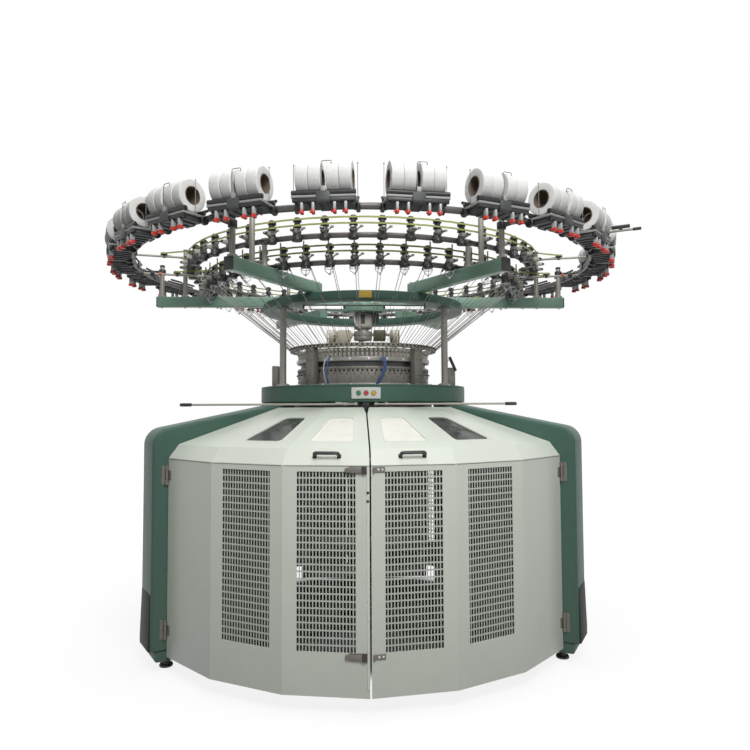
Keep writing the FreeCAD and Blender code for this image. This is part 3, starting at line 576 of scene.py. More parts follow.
FULL_TURN = 6.2832
BELT_TEETH = 1320.0
RING_GRAIN = (1.0, 1.0, 0.3)
HEAD_GRAIN = (1.0, 1.0, 0.1)
TRAY_GRAIN = (0.2, 1.0, 1.0)

# Each finish has its recipe, its material's name, its colour and the recipe's other values in order
FINISHES = {
    "frame_green": (painted, "frame_green_paint", own("frame"), 0.5, 0.35, 0.12, 0.03, 0.2),
    "arm_green": (painted, "arm_green_paint", own("arms"), 0.45, 0.3),
    # The doors grey towards the floor: partly dust, partly painted shade
    "door_pale": (painted, "door_pale_paint", own("doors"), 0.38, 0.12, 0.22, 0.25),
    # The mesh panels take a darker copy of the door paint: painted shade
    "mesh_pale": (painted, "mesh_pale_paint", own("doors", 0.82), 0.5, 0.3, 0.2),
    # Dark green of the legs' shaded lower outer faces: painted shade
    "leg_shade_sheet": (painted, "duct_paint", (30, 44, 38), 0.6, 0.3, 0.2, 0.0, 0.1),
    "motor_olive": (painted, "motor_olive", (88, 84, 58), 0.5, 0.4),
    "panel_white": (painted, "panel_white", (214, 216, 213), 0.4, 0.15),
    "plate_yellow": (painted, "plate_yellow", (196, 164, 50), 0.45, 0.2),
    "head_grey": (metal, "cam_box_metal", (146, 141, 134), 0.5, HEAD_GRAIN, 0.35),
    "rotor_grey": (metal, "rotor_metal", (128, 128, 124), 0.45, HEAD_GRAIN, 0.5),
    "plate_silver": (metal, "ground_plate", (166, 163, 158), 0.42, RING_GRAIN, 0.4),
    "guide_rail": (metal, "rail_metal", (150, 143, 132), 0.45, RING_GRAIN, 0.5),
    "bright_steel": (metal, "bright_steel", (205, 205, 204), 0.25, RING_GRAIN, 0.95),
    "column_steel": (metal, "column_steel", (166, 161, 153), 0.45, (1.0, 1.0, 0.03), 0.25),
    "pipe_steel": (metal, "pipe_steel", (98, 94, 91), 0.42, (0.3, 0.3, 1.0), 0.45),
    "fitting_steel": (metal, "fitting_steel", (126, 121, 115), 0.5, (0.3, 1.0, 1.0), 0.35),
    "foot_steel": (metal, "foot_steel", (74, 76, 76), 0.5, (1.0, 1.0, 1.0), 0.6),
    "tray_dark": (metal, "tray_metal", (74, 75, 77), 0.5, TRAY_GRAIN, 0.3),
    "tray_plate": (metal, "tray_plate", (158, 160, 156), 0.5, TRAY_GRAIN, 0.3),
    "tray_grey": (metal, "creel_wire", (128, 128, 126), 0.42, TRAY_GRAIN, 0.4),
    "guide_white": (moulded, "guide_ceramic", (254, 250, 240), 0.3, 900.0, 0.05),
    "black_plastic": (moulded, "black_plastic", (30, 31, 32), 0.42),
    "feeder_black": (moulded, "feeder_black", (36, 37, 38), 0.36),
    "feeder_grey": (moulded, "feeder_grey", (96, 96, 94), 0.4),
    "feeder_light": (moulded, "feeder_light", (176, 173, 165), 0.45),
    "tube_brown": (moulded, "cardboard_tube", (112, 98, 84), 0.8, 300.0),
    "seal_rubber": (moulded, "seal_rubber", (222, 228, 216), 0.5),
    "fold_shade": (moulded, "fold_seam", (132, 139, 130), 0.6),
    "edge_highlight": (moulded, "edge_strip", (240, 242, 236), 0.5, 900.0, 0.1),
    "fitting_dark": (moulded, "fitting_dark", (52, 50, 47), 0.45),
    "fan_cream": (moulded, "fan_cream", (212, 202, 184), 0.5),
    "button_green": (moulded, "button_green", (22, 130, 84), 0.3),
    "button_red": (moulded, "button_red", (206, 48, 38), 0.3),
    "button_yellow": (moulded, "button_yellow", (208, 172, 40), 0.3),
    "sensor_red": (moulded, "sensor_red", (222, 62, 50), 0.35),
    "knob_orange": (moulded, "knob_orange", (214, 86, 34), 0.35),
    "line_blue": (moulded, "line_blue", (72, 112, 178), 0.3),
    "line_white": (moulded, "line_white", (222, 224, 226), 0.35),
    "roller_pale": (moulded, "roller_pale", (148, 148, 143), 0.45),
    "tube_clear": (clear, "yarn_tube", (176, 172, 166), 0.5, 0.25),
    "wire_clear": (clear, "wire_guide", (238, 240, 242), 0.76, 0.15),
    "sensor_pale": (clear, "sensor_housing", (206, 208, 208), 0.8, 0.3),
    # The roof windows are one glass in two copies: a dark one, painted shade of the dark inside seen through
    # it, and a near-white one, painted reflection
    "pane_dark": (clear, "window_dark", (70, 76, 74), 0.8),
    "pane_pale": (clear, "window_pale", (252, 250, 240), 0.95, 0.3, 0.1),
    "belt_green": (toothed, "belt_green", own("belts")),
    "spool_white": (wound_yarn,),
    "light": (glowing,),
}

made_finishes = {}


def finish(name):
    """A finish, made the first time that it is asked for."""
    if name not in made_finishes:
        recipe, *values = FINISHES[name]
        if values:
            values[1] = values[1]() if callable(values[1]) else linear(*values[1])
        made_finishes[name] = recipe(*values)
    return made_finishes[name]


def sizes():
    return bpy.context.scene.knitting_sizes


def colour_property(name, description, default):
    return bpy.props.FloatVectorProperty(name=name, description=description, subtype="COLOR",
                                         size=3, min=0.0, max=1.0, default=default)


class KnittingColours(bpy.types.PropertyGroup):
    """Colours of the paints and of the belts."""

    frame: colour_property("Frame paint", "Paint of the legs, the bed and the upper ring",
                           linear(74, 104, 92))
    arms: colour_property("Arm paint", "Paint of the six radial arms", linear(124, 158, 140))
    doors: colour_property("Door paint", "Paint of the enclosure's sheets", linear(226, 232, 220))
    belts: colour_property("Belts", "Colour of the toothed belts", linear(180, 185, 108))
    floor: colour_property("Floor", "Colour of the plain floor and the background", (1.0, 1.0, 1.0))


class KnittingSizes(bpy.types.PropertyGroup):
    """Sizes and counts of the pieces that aren't in the CAD model."""

    cam_boxes: bpy.props.IntProperty(
        name="Cam boxes", description="Number of cam boxes round the cylinder", default=32, min=12)
    guides: bpy.props.IntProperty(
        name="Yarn guides", description="Number of yarn guides on the guide plate", default=96, min=24)
    slots_across: bpy.props.IntProperty(
        name="Slots across", description="Slots across one mesh panel", default=18, min=4)
    slots_down: bpy.props.IntProperty(
        name="Slots down", description="Slots down one mesh panel", default=25, min=4)
    feeders: bpy.props.IntProperty(
        name="Feeders", description="Storage feeders on each ring", default=48, min=12)
    lens: bpy.props.FloatProperty(
        name="Lens", description="Focal length on a 36 mm wide sensor", subtype="DISTANCE_CAMERA",
        default=31.012, min=10.0)
    wire: bpy.props.FloatProperty(
        name="Wire", description="Thickness of the wire hoops over the creel", unit="LENGTH",
        default=0.004, min=0.001)


# The machine's own sizes, in millimetres and degrees

BED_RADIUS = 690.0
BED_UNDERSIDE = 1488.0
BED_TOP = 1593.0
ARM_UNDERSIDE = 2148
ARM_TOP = 2218
LEG_AZIMUTH = 60.0
LEG_HALF = 112.0
LEG_END = 1430.0
LEG_START = 560.0
DOOR_RADIUS = 1350.0
HOOD_FOLD_RADIUS = 1295.0
HOOD_TOP_RADIUS = 700.0
DOOR_FOLD = 1180.0
HOOD_FOLD = 1255.0
HOOD_TOP = 1458.0
HALF_FACET = 9.16665
FACET = math.cos(math.radians(HALF_FACET))
HINGED_FACET = HALF_FACET - 55.0
MESH_FACETS = np.array([-27.5, -HALF_FACET])
REAR_DOORS = (120.0, 240.0)
LOWER_RING = (1000.0, 2241.0)
UPPER_RING = (1120.0, 2356.0)
SPOOL_RING = (1500.0, 2388.0)
LOW_POST = 992
MIDDLE_POST = 1111
TALL_POST = 1218
OUTER_POST = 1375
POSTS = (LOW_POST, MIDDLE_POST, TALL_POST, OUTER_POST)
BELT_LEVELS = (48.0, 80.0)
FEEDER_DEPTH = 43.0
UNIT_STEP = 15.0
UNIT_AZIMUTHS = (np.arange(24) + 0.5) * UNIT_STEP
SPOOL_AXIS = (1572.0, 2488.0)
ROLLER_Z = 2410.9


# Legs and base

def leg_outline():
    """Side of a leg as (distance from the axis, height): shoulder arc, slope and lip."""
    rim, slope_top, reach, slope_end, radius, underside = 684.0, 1476.0, 1320.0, 1352.0, 100.0, 121.0
    lean = math.atan2(slope_top - slope_end, reach - rim)
    centre = LEG_END - radius
    top = centre + radius * math.sin(lean)
    top_z = slope_end - (top - reach) * math.tan(lean)
    centre_z = top_z - radius * math.cos(lean)
    t = np.linspace(0, math.pi / 2 - lean, 11)
    arc = np.stack([centre + radius * np.cos(t), centre_z + radius * np.sin(t)], 1)
    return np.concatenate([[(LEG_START, underside), (LEG_END, underside)], arc,
                           [(rim, slope_top), (rim, BED_UNDERSIDE), (LEG_START, BED_UNDERSIDE)]])


def build_legs():
    side = slab(leg_outline(), -LEG_HALF, LEG_HALF, 16.0, 4)
    plinth = slab(eased(corners((LEG_START, 1404), (65, 119.5)), (2, 14, 2, 2), 3), -108, 108, 4, 2)
    leg = put(joined(side, plinth), turn=SIDE_VIEW)
    for name, azimuth in zip(("left_leg", "right_leg", "rear_leg"), LEGS):
        make(name + "_casting", "frame_green", "frame_green", leg, about=[azimuth], node=name)
    hub = lathe(eased([(60, 0), (170, 0), (170, 85), (75, 85), (75, 125), (60, 125)],
                      (0, 3, 10, 8, 6, 0), 3), 48)
    beam = block((-60, 60), (-LEG_START, -75), (30, 85), 6, 2)
    make("base_casting", "frame_green", "frame_green", hub, round_about(beam, LEGS), node="base_tripod")
    foot = lathe([(36, 0), (38, 2.5), (38, 10), (34, 14), (22, 16), (20, 26), (18, 28), (18, 65)], 32)
    nut = lathe([(28, 44), (30, 46), (30, 58), (28, 62)], 6)
    ribs = round_about(block((-1.5, 1.5), (-34, -20), (12, 20), 0.8), steps_of(12))
    make("levelling_feet_turned", "foot_steel", "foot_steel",
         at_points(joined(foot, nut, ribs), polar(1315.0, LEGS)), node="levelling_feet")
    # A dark sheet on the lower outer face of each leg, standing for the shade there: painted shade
    shade_sheet = eased([(LEG_END - 1, 124), (LEG_END + 11, 124), (LEG_END + 12, 170), (LEG_END + 3, 428),
                  (LEG_END - 1, 434)], (1, 8, 20, 3, 1), 3)
    make("leg_ducts", "leg_shade_sheet", "black_plastic", put(slab(shade_sheet, -92, 92, 3, 2), turn=SIDE_VIEW),
         about=LEGS)


# Bed

def build_bed():
    section = eased([(400, BED_UNDERSIDE), (684, BED_UNDERSIDE), (BED_RADIUS, 1494),
                     (BED_RADIUS, 1578), (687, 1581), (BED_RADIUS, 1584), (BED_RADIUS, BED_TOP),
                     (400, BED_TOP)], (2, 2, 3, 2, 1, 2, 5, 3), 3)
    make("bed_casting", "frame_green", "frame_green", lathe(section, 160, closed=True),
         node="bed_plate")
    control_plate()
    stop_rods()
    make("bed_wipers", "line_white", "panel_white", block((-180, -52), (-668, -650), (1472, 1488), 2))
    pads = [block((x - 40, x + 40), (-655, -560), (1480, 1488.5), 2) for x in (-150, 150)]
    make("bed_brackets", "black_plastic", "black_plastic", *pads,
         block((-210, -30), (-664, -640), (1478, 1488), 2),
         block((-22, 22), (-684, -650), (1462, 1488), 3), block((-10, 10), (-690, -676), (1440, 1470), 3))
    make("bed_bolts", "bright_steel", "plate_silver",
         at_points(hex_bolt(7, 6), polar(660.0, steps_of(24) + 7.5, BED_TOP)))


def control_plate():
    """White plate on the bed's front with three push buttons in bezels."""
    y = -BED_RADIUS
    face, middle = y - 11, 1540.5
    buttons = (("green", -44), ("red", 0), ("yellow", 44))
    panel = block((-85, 85), (y - 10, y + 6), (1507.5, 1573.5), 3, 2)
    rim = block((-80, 80), (y - 11.2, y - 9), (1512, 1569), 1)
    screws = at_points(cap_screw(2.6, 2), [(x, face, z) for x in (-74, 74) for z in (1517, 1564)], FRONT)
    make("control_plate", "panel_white", "panel_white", panel, rim, screws, node="control_panel")
    bezel = lathe([(17, 0), (17, 2.5), (14.5, 4.5), (12.5, 4.5), (12.5, 2)], 28)
    make("button_bezels", "plate_silver", "button",
         at_points(bezel, [(x, face, middle) for _, x in buttons], FRONT))
    cap = lathe([(11.5, 0), (11.5, 8.5), (10, 10.5), (6, 10.2), (2, 9.8)], 28)
    for name, x in buttons:
        make("button_" + name, "button_" + name, "button", put(cap, (x, face, middle), FRONT),
             node="push_buttons" if name == "green" else "")


def stop_rods():
    """Round bars under the bed's rim, each with two hangers and a ridged grip at its outer end."""
    def at(x):
        return x, -672, 1476
    for name, start, end, side in (("left", -1006, -60, -1), ("right", 60, 820, 1)):
        line = bar(6, at(start), at(end), 16, 1)
        places = (side * 60, side * 120)
        hangers = [block((x - 8, x + 8), (-680, -664), (1470, 1488), 1.5) for x in places]
        collars = [bar(8.5, at(x - 12), at(x + 12), 16, 1) for x in places]
        make("stop_rod_" + name, "column_steel", "pipe_steel", line, *hangers, *collars,
             node="stop_rods" if side < 0 else "")
        near = start if side < 0 else end
        ridges = [bar(10.6, at(near + side * k), at(near + side * (k + 4)), 16, 0.8)
                  for k in (8, 18, 28, 38, 48)]
        make("rod_grip_" + name, "black_plastic", "black_plastic",
             bar(9.4, at(near), at(near + side * 68), 20, 3), *ridges,
             node="rod_grips" if side < 0 else "")


# Head

def build_head():
    make("cam_base_plate", "plate_silver", "plate_silver", band(392, 470, BED_TOP, 1609, 2.5, 128),
         at_points(cap_screw(4.5, 3), polar(458.0, steps_of(48) + 3.75, 1609.0)), node="cam_base_ring")
    cam_boxes()
    # A ring in the gap between the cam boxes and the guide plate: the ring is real, its dark steel colour is
    # painted shade for the gap
    make("head_core", "foot_steel", "head_grey", band(404, 425, 1715, 1748, 1, 96, 1))
    make("guide_plate_turned", "plate_silver", "plate_silver", band(404, 452, 1748, 1776, 3, 128),
         node="guide_plate")
    make("guide_plate_bolts", "bright_steel", "plate_silver",
         put(hex_bolt(5, 4), (0, -452, 1762), FRONT), about=steps_of(24) + 3.0)
    yarn_guides()
    post = joined(block((-38, 38), (-494, -452), (1609, 1835), 3, 2),
                  block((-38, 38), (-494, -471), (1593, 1612), 2),
                  at_points(hex_bolt(6, 5), [(x, -494, z) for x in (-22, 22) for z in (1640, 1762, 1815)],
                            FRONT),
                  block((-24, 24), (-497, -493), (1660, 1740), 1.5))
    make("guide_pillars", "head_grey", "column_steel", post, about=(-45, 45, 135, 225),
         node="guide_posts")
    air_lines()
    boxes = [block((x - half, x + half), (-250, -170), (1593, top), 4, 2)
             for x, half, top in ((-574, 22, 1728), (572, 26, 1716))]
    make("oiler_boxes", "head_grey", "head_grey", *boxes)
    make("crank_grip", "black_plastic", "black_plastic",
         bar(10, (552, -300, 1782), (592, -300, 1690), 16, 3))
    make("crank_stem", "bright_steel", "column_steel", bar(4, (520, -300, 1735), (556, -300, 1770), 10),
         bar(5, (520, -300, 1593), (520, -300, 1740), 10))


def cam_boxes():
    """Cam boxes round the cylinder, each with a ledge, sockets, a dial, screws and levers."""
    count = sizes().cam_boxes
    half = math.pi / count - 0.0022
    a = np.linspace(-half, half, 5)
    outer = np.stack([445 * np.sin(a), -445 * np.cos(a)], 1)
    inner = np.stack([392 * np.sin(a[::-1]), -392 * np.cos(a[::-1])], 1)
    step = math.degrees(2 * math.pi / count)
    azimuths = (np.arange(count) + 0.5) * step
    box = slab(np.concatenate([outer, inner]), 1609.5, 1715, 2.2, 2)
    ledge = slab(np.concatenate([outer * 1.012, outer[::-1] * 0.98]), 1700, 1708, 1.2, 1)
    make("cam_box_bodies", "head_grey", "head_grey", round_about(box, azimuths),
         round_about(ledge, azimuths), node="cam_boxes")
    socket = lathe([(8, 0), (8, 2.2), (6.4, 2.6), (5, 2.4), (4.6, 0.6)], 12)
    make("cam_sockets", "black_plastic", "black_plastic", put(socket, (0, -444.6, 1689), FRONT),
         about=np.arange(count * 3) * step / 3 + step / 6)
    dial = lathe([(8, 0), (8, 3), (6.5, 4.2), (2.5, 4.2), (2.5, 2.5)], 16)
    on_face = [put(dial, (0, -444.4, 1655), FRONT)]
    on_face += [put(cap_screw(3.4, 3), (x, -443.8, 1628), FRONT) for x in (24, -24)]
    make("cam_dials", "head_grey", "plate_silver", *[round_about(part, azimuths) for part in on_face])
    lever = block((-3, 3), (-456, -440), (1668, 1676), 1)
    make("cam_levers", "feeder_grey", "head_grey",
         round_about(lever, azimuths + step / 4), round_about(lever, azimuths - step / 4))


def yarn_guides():
    """Blades with eyelets on the guide plate, and the channel above them with its eyes and tongues."""
    count = sizes().guides
    spots = (np.arange(count) + 0.5) * (360.0 / count)
    side = eased([(-405, 1776), (-438, 1776), (-446, 1790), (-440, 1822), (-426, 1826), (-405, 1822)],
                 3, 2)[::-1]
    make("guide_blades", "guide_white", "guide_white",
         put(slab(side, -6.2, 6.2, 1.4, 1), turn=END_VIEW), about=spots, node="yarn_guides")
    eyelet = lathe([(4.6, 0), (4.6, 3), (3.6, 4), (2.4, 3.6), (2.2, 1)], 10)
    make("guide_eyelets", "black_plastic", "black_plastic", put(eyelet, (0, -442, 1806), FRONT),
         about=spots)
    make("guide_carrier", "head_grey", "head_grey", band(404, 418, 1776, 1834, 1.5, 96, 1))
    channel = eased([(450, 1835), (500, 1835), (500, 1857), (492, 1857), (488, 1849), (460, 1849),
                     (456, 1857), (450, 1857)], 1.5, 1)
    make("guide_rail_channel", "guide_rail", "column_steel", lathe(channel, 128, closed=True),
         node="guide_rail")
    eye = lathe([(7, 0), (7, 2.5), (5, 3.5), (3.6, 2.5), (3.4, 0.4)], 12)
    lip_eye = lathe([(6, 0), (6, 2), (4, 3), (3, 1)], 10)
    make("guide_rail_eyes", "black_plastic", "black_plastic",
         round_about(put(eye, (0, -500, 1846), FRONT), spots),
         round_about(put(lip_eye, (0, -474, 1849)), spots))
    make("guide_rail_tongues", "guide_white", "guide_white",
         block((-4, 4), (-499, -470), (1828, 1836), 1.2), about=spots[::2])


def air_lines():
    """Short hoses from the guide plate down to the cam boxes' foot."""
    def hose(*points):
        return bent(*points, 4.5)
    make("air_lines_white", "line_white", "panel_white",
         hose((-228, -452, 1770), (-276, -520, 1715), (-236, -462, 1600)))
    make("air_lines_blue", "line_blue", "panel_white",
         hose((-214, -452, 1776), (-250, -530, 1712), (-226, -466, 1600)),
         hose((110, -462, 1770), (150, -536, 1712), (84, -466, 1600)),
         hose((128, -462, 1768), (128, -556, 1706), (70, -470, 1600)),
         hose((96, -462, 1764), (120, -500, 1740), (132, -470, 1698)))


def bent(start, middle, end, radius, sides=8, steps=14):
    """A smooth pipe on the curve (1-s)^2 A + 2s(1-s) M + s^2 B."""
    a, m, b = (np.asarray(p, float) for p in (start, middle, end))
    s = np.linspace(0, 1, steps)[:, None]
    path = (1 - s) ** 2 * a + 2 * s * (1 - s) * m + s ** 2 * b
    return sweep(circle(radius, sides), path, up=(0.31, 0.2, 0.93))


# Columns, upper ring and arms

def build_upper_frame():
    shaft = lathe([(42, 1593), (42, 1604), (39, 1607), (24, 1608), (21, 1612), (21, 2079), (24, 2083),
                   (39, 2084), (42, 2087), (42, 2098)], 40)
    low = at_points(hex_bolt(5, 5), [(x, y, 1607) for x in (-23, 23) for y in (-23, 23)])
    make("columns_turned", "column_steel", "column_steel",
         at_points(joined(shaft, low), polar(600.0, LEGS)), node="columns")
    make("upper_ring_casting", "frame_green", "frame_green", band(550, 680, 2098, 2148, 5, 160, 3),
         node="upper_ring")
    hub = lathe(eased(corners((60, 150), (2106, 2166)), (0, 6, 6, 0), 3), 56)
    side = eased([(100, 2106), (548, 2106), (548, 2132), (150, 2166), (100, 2166)], 3, 2)
    spoke = put(slab(side, -33, 33, 4, 2), turn=SIDE_VIEW)
    make("spider_casting", "arm_green", "frame_green", hub, round_about(spoke, LEGS),
         node="ring_spider")
    make("spider_bolts", "bright_steel", "plate_silver",
         at_points(hex_bolt(7, 7), polar(118.0, steps_of(6), 2106.0), DOWN))
    radial_arms()
    make("notice_plate", "plate_yellow", "panel_white", block((-42, 36), (-682.5, -680), (2102, 2144), 0.8))
    ring_lights()


def radial_arms():
    """Box beams on the upper ring with their end plugs and bolts."""
    end, plug_end = 1400, 1406
    outline = eased(rectangle(60, 70, 0, (ARM_UNDERSIDE + ARM_TOP) / 2), 7, 3)
    make("radial_arm_tubes", "arm_green", "arm_green",
         put(slab(outline, 575, end, 0.8, 1), turn=FRONT_VIEW), about=ARMS, node="radial_arms")
    make("arm_plugs", "black_plastic", "black_plastic",
         put(slab(outline, end + 0.2, plug_end, 2, 2), turn=FRONT_VIEW), about=ARMS,
         node="arm_end_caps")
    places = (LOWER_RING[0], UPPER_RING[0], TALL_POST, OUTER_POST)
    under = at_points(hex_bolt(8, 8), [(0, -r, ARM_UNDERSIDE) for r in places], DOWN)
    inner = at_points(hex_bolt(8, 7), [(x, -r, ARM_TOP) for x in (-16, 16) for r in (595, 660)])
    make("arm_bolts", "bright_steel", "column_steel", under, inner, about=ARMS)


def ring_lights():
    """Two light tubes on a rail that lies as a chord across the upper ring's opening."""
    span = math.sqrt(550.0 ** 2 - 390.0 ** 2)
    make("light_rail", "foot_steel", "column_steel",
         block((-span, span), (-398, -382), (2098, 2106), 1.5))
    make("light_tubes", "light", "panel_white", *[
        bar(9, (side * 130, -390, 2088), (side * (span - 8), -390, 2088), 14, 3) for side in (-1, 1)])
    make("light_holders", "black_plastic", "black_plastic", *[
        block((side * p - 7, side * p + 7), (-400, -380), (2080, 2099), 2)
        for side in (-1, 1) for p in (126, span - 6)])


# Gearbox and fans

def build_centre():
    box = block((-59, 59), (-59, 59), (2000, 2106), 6, 3)
    stem = lathe([(40, 1932), (40, 2000)], 40)
    flange = lathe(eased(corners((30, 62), (1920, 1944.5)), (0, 3, 3, 0), 2), 40)
    quarters = (0, 90, 180, 270)
    covers = [put(block((-46, 46), (-61.5, -58), (2010, 2096), 1.5), turn=turns([a])[0]) for a in quarters]
    screws = at_points(cap_screw(4, 3), [(x, -61, z) for x in (-38, 38) for z in (2018, 2088)], FRONT)
    make("gearbox_housing", "column_steel", "column_steel", box, stem, flange, *covers,
         round_about(screws, quarters), node="centre_gearbox")
    make("gearbox_slot", "fitting_dark", "black_plastic", block((-14, 12), (-63, -61), (2028, 2092), 0.8))
    make("gearbox_motor", "foot_steel", "column_steel", bar(34, (78, 0, 2040), (78, 0, 2104), 28, 3),
         *[bar(36, (78, 0, z), (78, 0, z + 4), 28, 1) for z in (2052, 2064, 2076)])
    make("gearbox_line", "line_white", "panel_white",
         bent((-52, -66, 2104), (-78, -96, 2030), (-20, -64, 1996), 5))
    arms = [block((side * 58 - (6 if side > 0 else 126), side * 58 + (126 if side > 0 else 6)), (-10, 10),
                  (1950, 1970), 3, 2) for side in (-1, 1)]
    make("fan_collar", "column_steel", "column_steel", band(41, 62, 1945, 1981, 2.5, 40), *arms,
         body="fans", node="fan_carrier")
    fans()


def fans():
    """Two fans that look outwards from the collar: a wire cage, a wheel and a motor each."""
    rings = [lathe(eased(corners((r - 1.6, r + 1.6), (z - 1.6, z + 1.6)), 1.2, 1), 32, closed=True)
             for r, z in ((60, 2), (60, 60), (60, 31), (44, 60), (28, 60), (44, 2), (28, 2))]
    shell = lathe(eased([(57, 14), (61, 12), (61, 46), (57, 48)], 1.2, 1), 36, closed=True)
    spokes = [round_about(spoke, steps_of(12)) for spoke in (
        put(rod(1.4, 58, 0, 6), (0, -60, 2)), put(rod(1.4, 50, 0, 6), (0, -60, 60), BACK),
        put(rod(1.4, 50, 0, 6), (0, -60, 2), BACK))]
    blade = put(slab(eased([(-9, -50), (9, -46), (14, -14), (-10, -16)], 4, 2), -1, 1, 0.5, 1),
                (0, 0, 38), axes((0.86, 0, 0.5), (0, 1, 0), (-0.5, 0, 0.86)))
    wheel = (round_about(blade, steps_of(5)), lathe([(15, 28), (15, 46), (12, 50)], 24))
    motor = lathe([(26, 4), (28, 6), (28, 24), (20, 28)], 28)
    cages, wheels, motors = [], [], []
    for side, out in ((-1, SIDE_VIEW), (1, END_VIEW)):
        origin = (side * 188.0, 0, 1933)
        cages += [put(part, origin, out) for part in (*rings, *spokes, shell)]
        wheels += [put(part, origin, out) for part in wheel]
        motors.append(put(motor, origin, out))
    cowl = slab(eased([(-188, 1893), (-96, 1904), (-70, 1950), (-84, 1988), (-168, 1990), (-188, 1976)],
                      12, 3), -42, 42, 6, 3)
    housing = block((72, 156), (-34, 34), (1917, 1990), 6, 2)
    fins = [block((x, x + 3), (-36, 36), (1922, 1985), 1) for x in (84, 96, 108, 120, 132, 144)]
    make("fan_cages", "fan_cream", "fan_cream", *cages, put(cowl, turn=FRONT_VIEW), body="fans",
         node="fan_guards")
    make("fan_wheels", "fan_cream", "fan_cream", *wheels, body="fans")
    make("fan_motors", "motor_olive", "column_steel", *motors, housing, *fins, body="fans")


# Pipe rings and their posts

def torus(radius, height, thickness, sides=192, around=14):
    """A bent pipe closed on itself: (R + r cos t) at z + r sin t, turned about the axis."""
    return lathe(circle(thickness, around) + (radius, height), sides, closed=True)


def clamp(axis_radius, pipe_radius, height, width=26.0):
    """A split collar round a ring's pipe at the front, with its two ears and screw."""
    half = width / 2
    collar = put(band(pipe_radius + 0.4, pipe_radius + 6, -half, half, 1, 20, 1),
                 (0, -axis_radius, height), RIGHT)
    ears = block((2 - half, half - 2), (-axis_radius - pipe_radius - 20, -axis_radius - pipe_radius),
                 (height - 6, height + 6), 1.5)
    return joined(collar, ears)


def build_rings():
    for name, node, (radius, height), thickness in (
            ("spool_ring_pipe", "spool_ring", SPOOL_RING, 16.8),
            ("lower_ring_pipe", "lower_feeder_ring", LOWER_RING, 14.8),
            ("upper_ring_pipe", "upper_feeder_ring", UPPER_RING, 14.8)):
        make(name, "pipe_steel", "pipe_steel", torus(radius, height, thickness), node=node)
    posts = [put(rod(radius, length, edge, 20), (0, -place, ARM_TOP)) for radius, length, edge, place in
             ((14, 30, 1, LOW_POST), (14, 132, 1, MIDDLE_POST), (15, 214, 1.5, OUTER_POST),
              (15, 322, 1.5, TALL_POST))]
    feet = [put(band(14, 27, ARM_TOP, ARM_TOP + 12, 2, 24), (0, -place, 0)) for place in POSTS]
    make("ring_post_tubes", "column_steel", "column_steel", *posts, *feet, about=ARMS,
         node="ring_posts")
    bracket = block((-6, 6), (-1483, -OUTER_POST), (2376, 2400), 2)
    collar = put(band(15.3, 24, 2370, 2406, 2, 24), (0, -OUTER_POST, 0))
    clamps = [clamp(SPOOL_RING[0], 17, SPOOL_RING[1]), clamp(LOW_POST, 15, LOWER_RING[1]),
              clamp(MIDDLE_POST, 15, UPPER_RING[1])]
    caps = [put(lathe([(16.5, 2534), (17, 2536), (17, 2542), (15, 2546)], 20), (0, -TALL_POST, -1)),
            put(lathe([(16.5, 2424), (17, 2426), (17, 2434), (15, 2437)], 20), (0, -OUTER_POST, 0))]
    make("ring_post_clamps", "black_plastic", "black_plastic", bracket, collar, *clamps, *caps,
         about=ARMS)


# Storage feeders and belts

def feeder_unit(inner, height):
    """One storage feeder as lists of shells for its black, grey and light pieces."""
    outer = inner + FEEDER_DEPTH
    middle = inner + 24.0
    axle = outer - 23.8

    def turned(profile, sides, distance, level=0.0):
        return put(lathe(profile, sides), (0, -distance, height + level))
    side = eased([(inner - 1, height + 10), (outer - 12, height + 10), (outer - 6, height + 22),
                  (outer - 10, height + 42), (outer - 2, height + 50), (outer - 8, height + 96),
                  (inner + 16, height + 96), (inner + 12, height + 44), (inner - 1, height + 30)], 3, 1)
    pulley = [(20, -7), (23.4, -6.5), (23.4, -5.4), (22.4, -5), (22.4, 5), (23.4, 5.4), (23.4, 6.5), (20, 7)]
    black = [put(slab(side, -9, 9, 2, 1), turn=SIDE_VIEW),
             *[turned(pulley, 20, axle, level) for level in BELT_LEVELS],
             turned([(14, 87), (16, 89), (16, 93), (12, 96)], 14, axle),
             turned([(13, 54), (15, 57), (15, 70), (13, 73)], 14, axle),
             turned([(12, -14), (27, -15), (29, -20), (29, -26), (26, -30)], 20, middle),
             block((-12, 12), (-inner + 1, -inner + 14), (height - 15, height + 17), 2),
             put(rod(7, 22, 1, 10), (-11, -inner - 84, height + 16), RIGHT)]
    pins = round_about(put(rod(1.6, 26, 0, 5), (0, -19, -14)), steps_of(10))
    eye = lathe([(5, 0), (5, 3), (3, 4), (2, 1)], 8)
    grey = [turned([(17, -13), (18, -11), (15, -6), (15, 8), (22, 12), (24, 16), (22, 22), (13, 38),
                    (13, 41)], 18, middle),
            put(pins, (0, -middle, height)),
            put(eye, (13, -outer + 2, height + 30), towards((0.3, -1, 0))),
            block((9, 17), (-outer + 4, -middle + 6), (height + 26, height + 34), 1.5)]
    shell_side = eased([(inner + 30, height + 3), (inner + 84, height + 8), (inner + 95, height + 16),
                        (inner + 84, height + 25), (inner + 40, height + 32)], (2, 6, 6, 6, 2), 2)
    light = [bar(4.5, (6, -middle, height + 14), (42, -outer + 10, height + 33), 8, 1),
             put(lathe([(6, -5), (9, -4), (9, 4), (6, 5)], 12), (43, -outer + 9, height + 34)),
             put(slab(shell_side, -9, 9, 4, 2), turn=SIDE_VIEW)]
    return black, grey, light


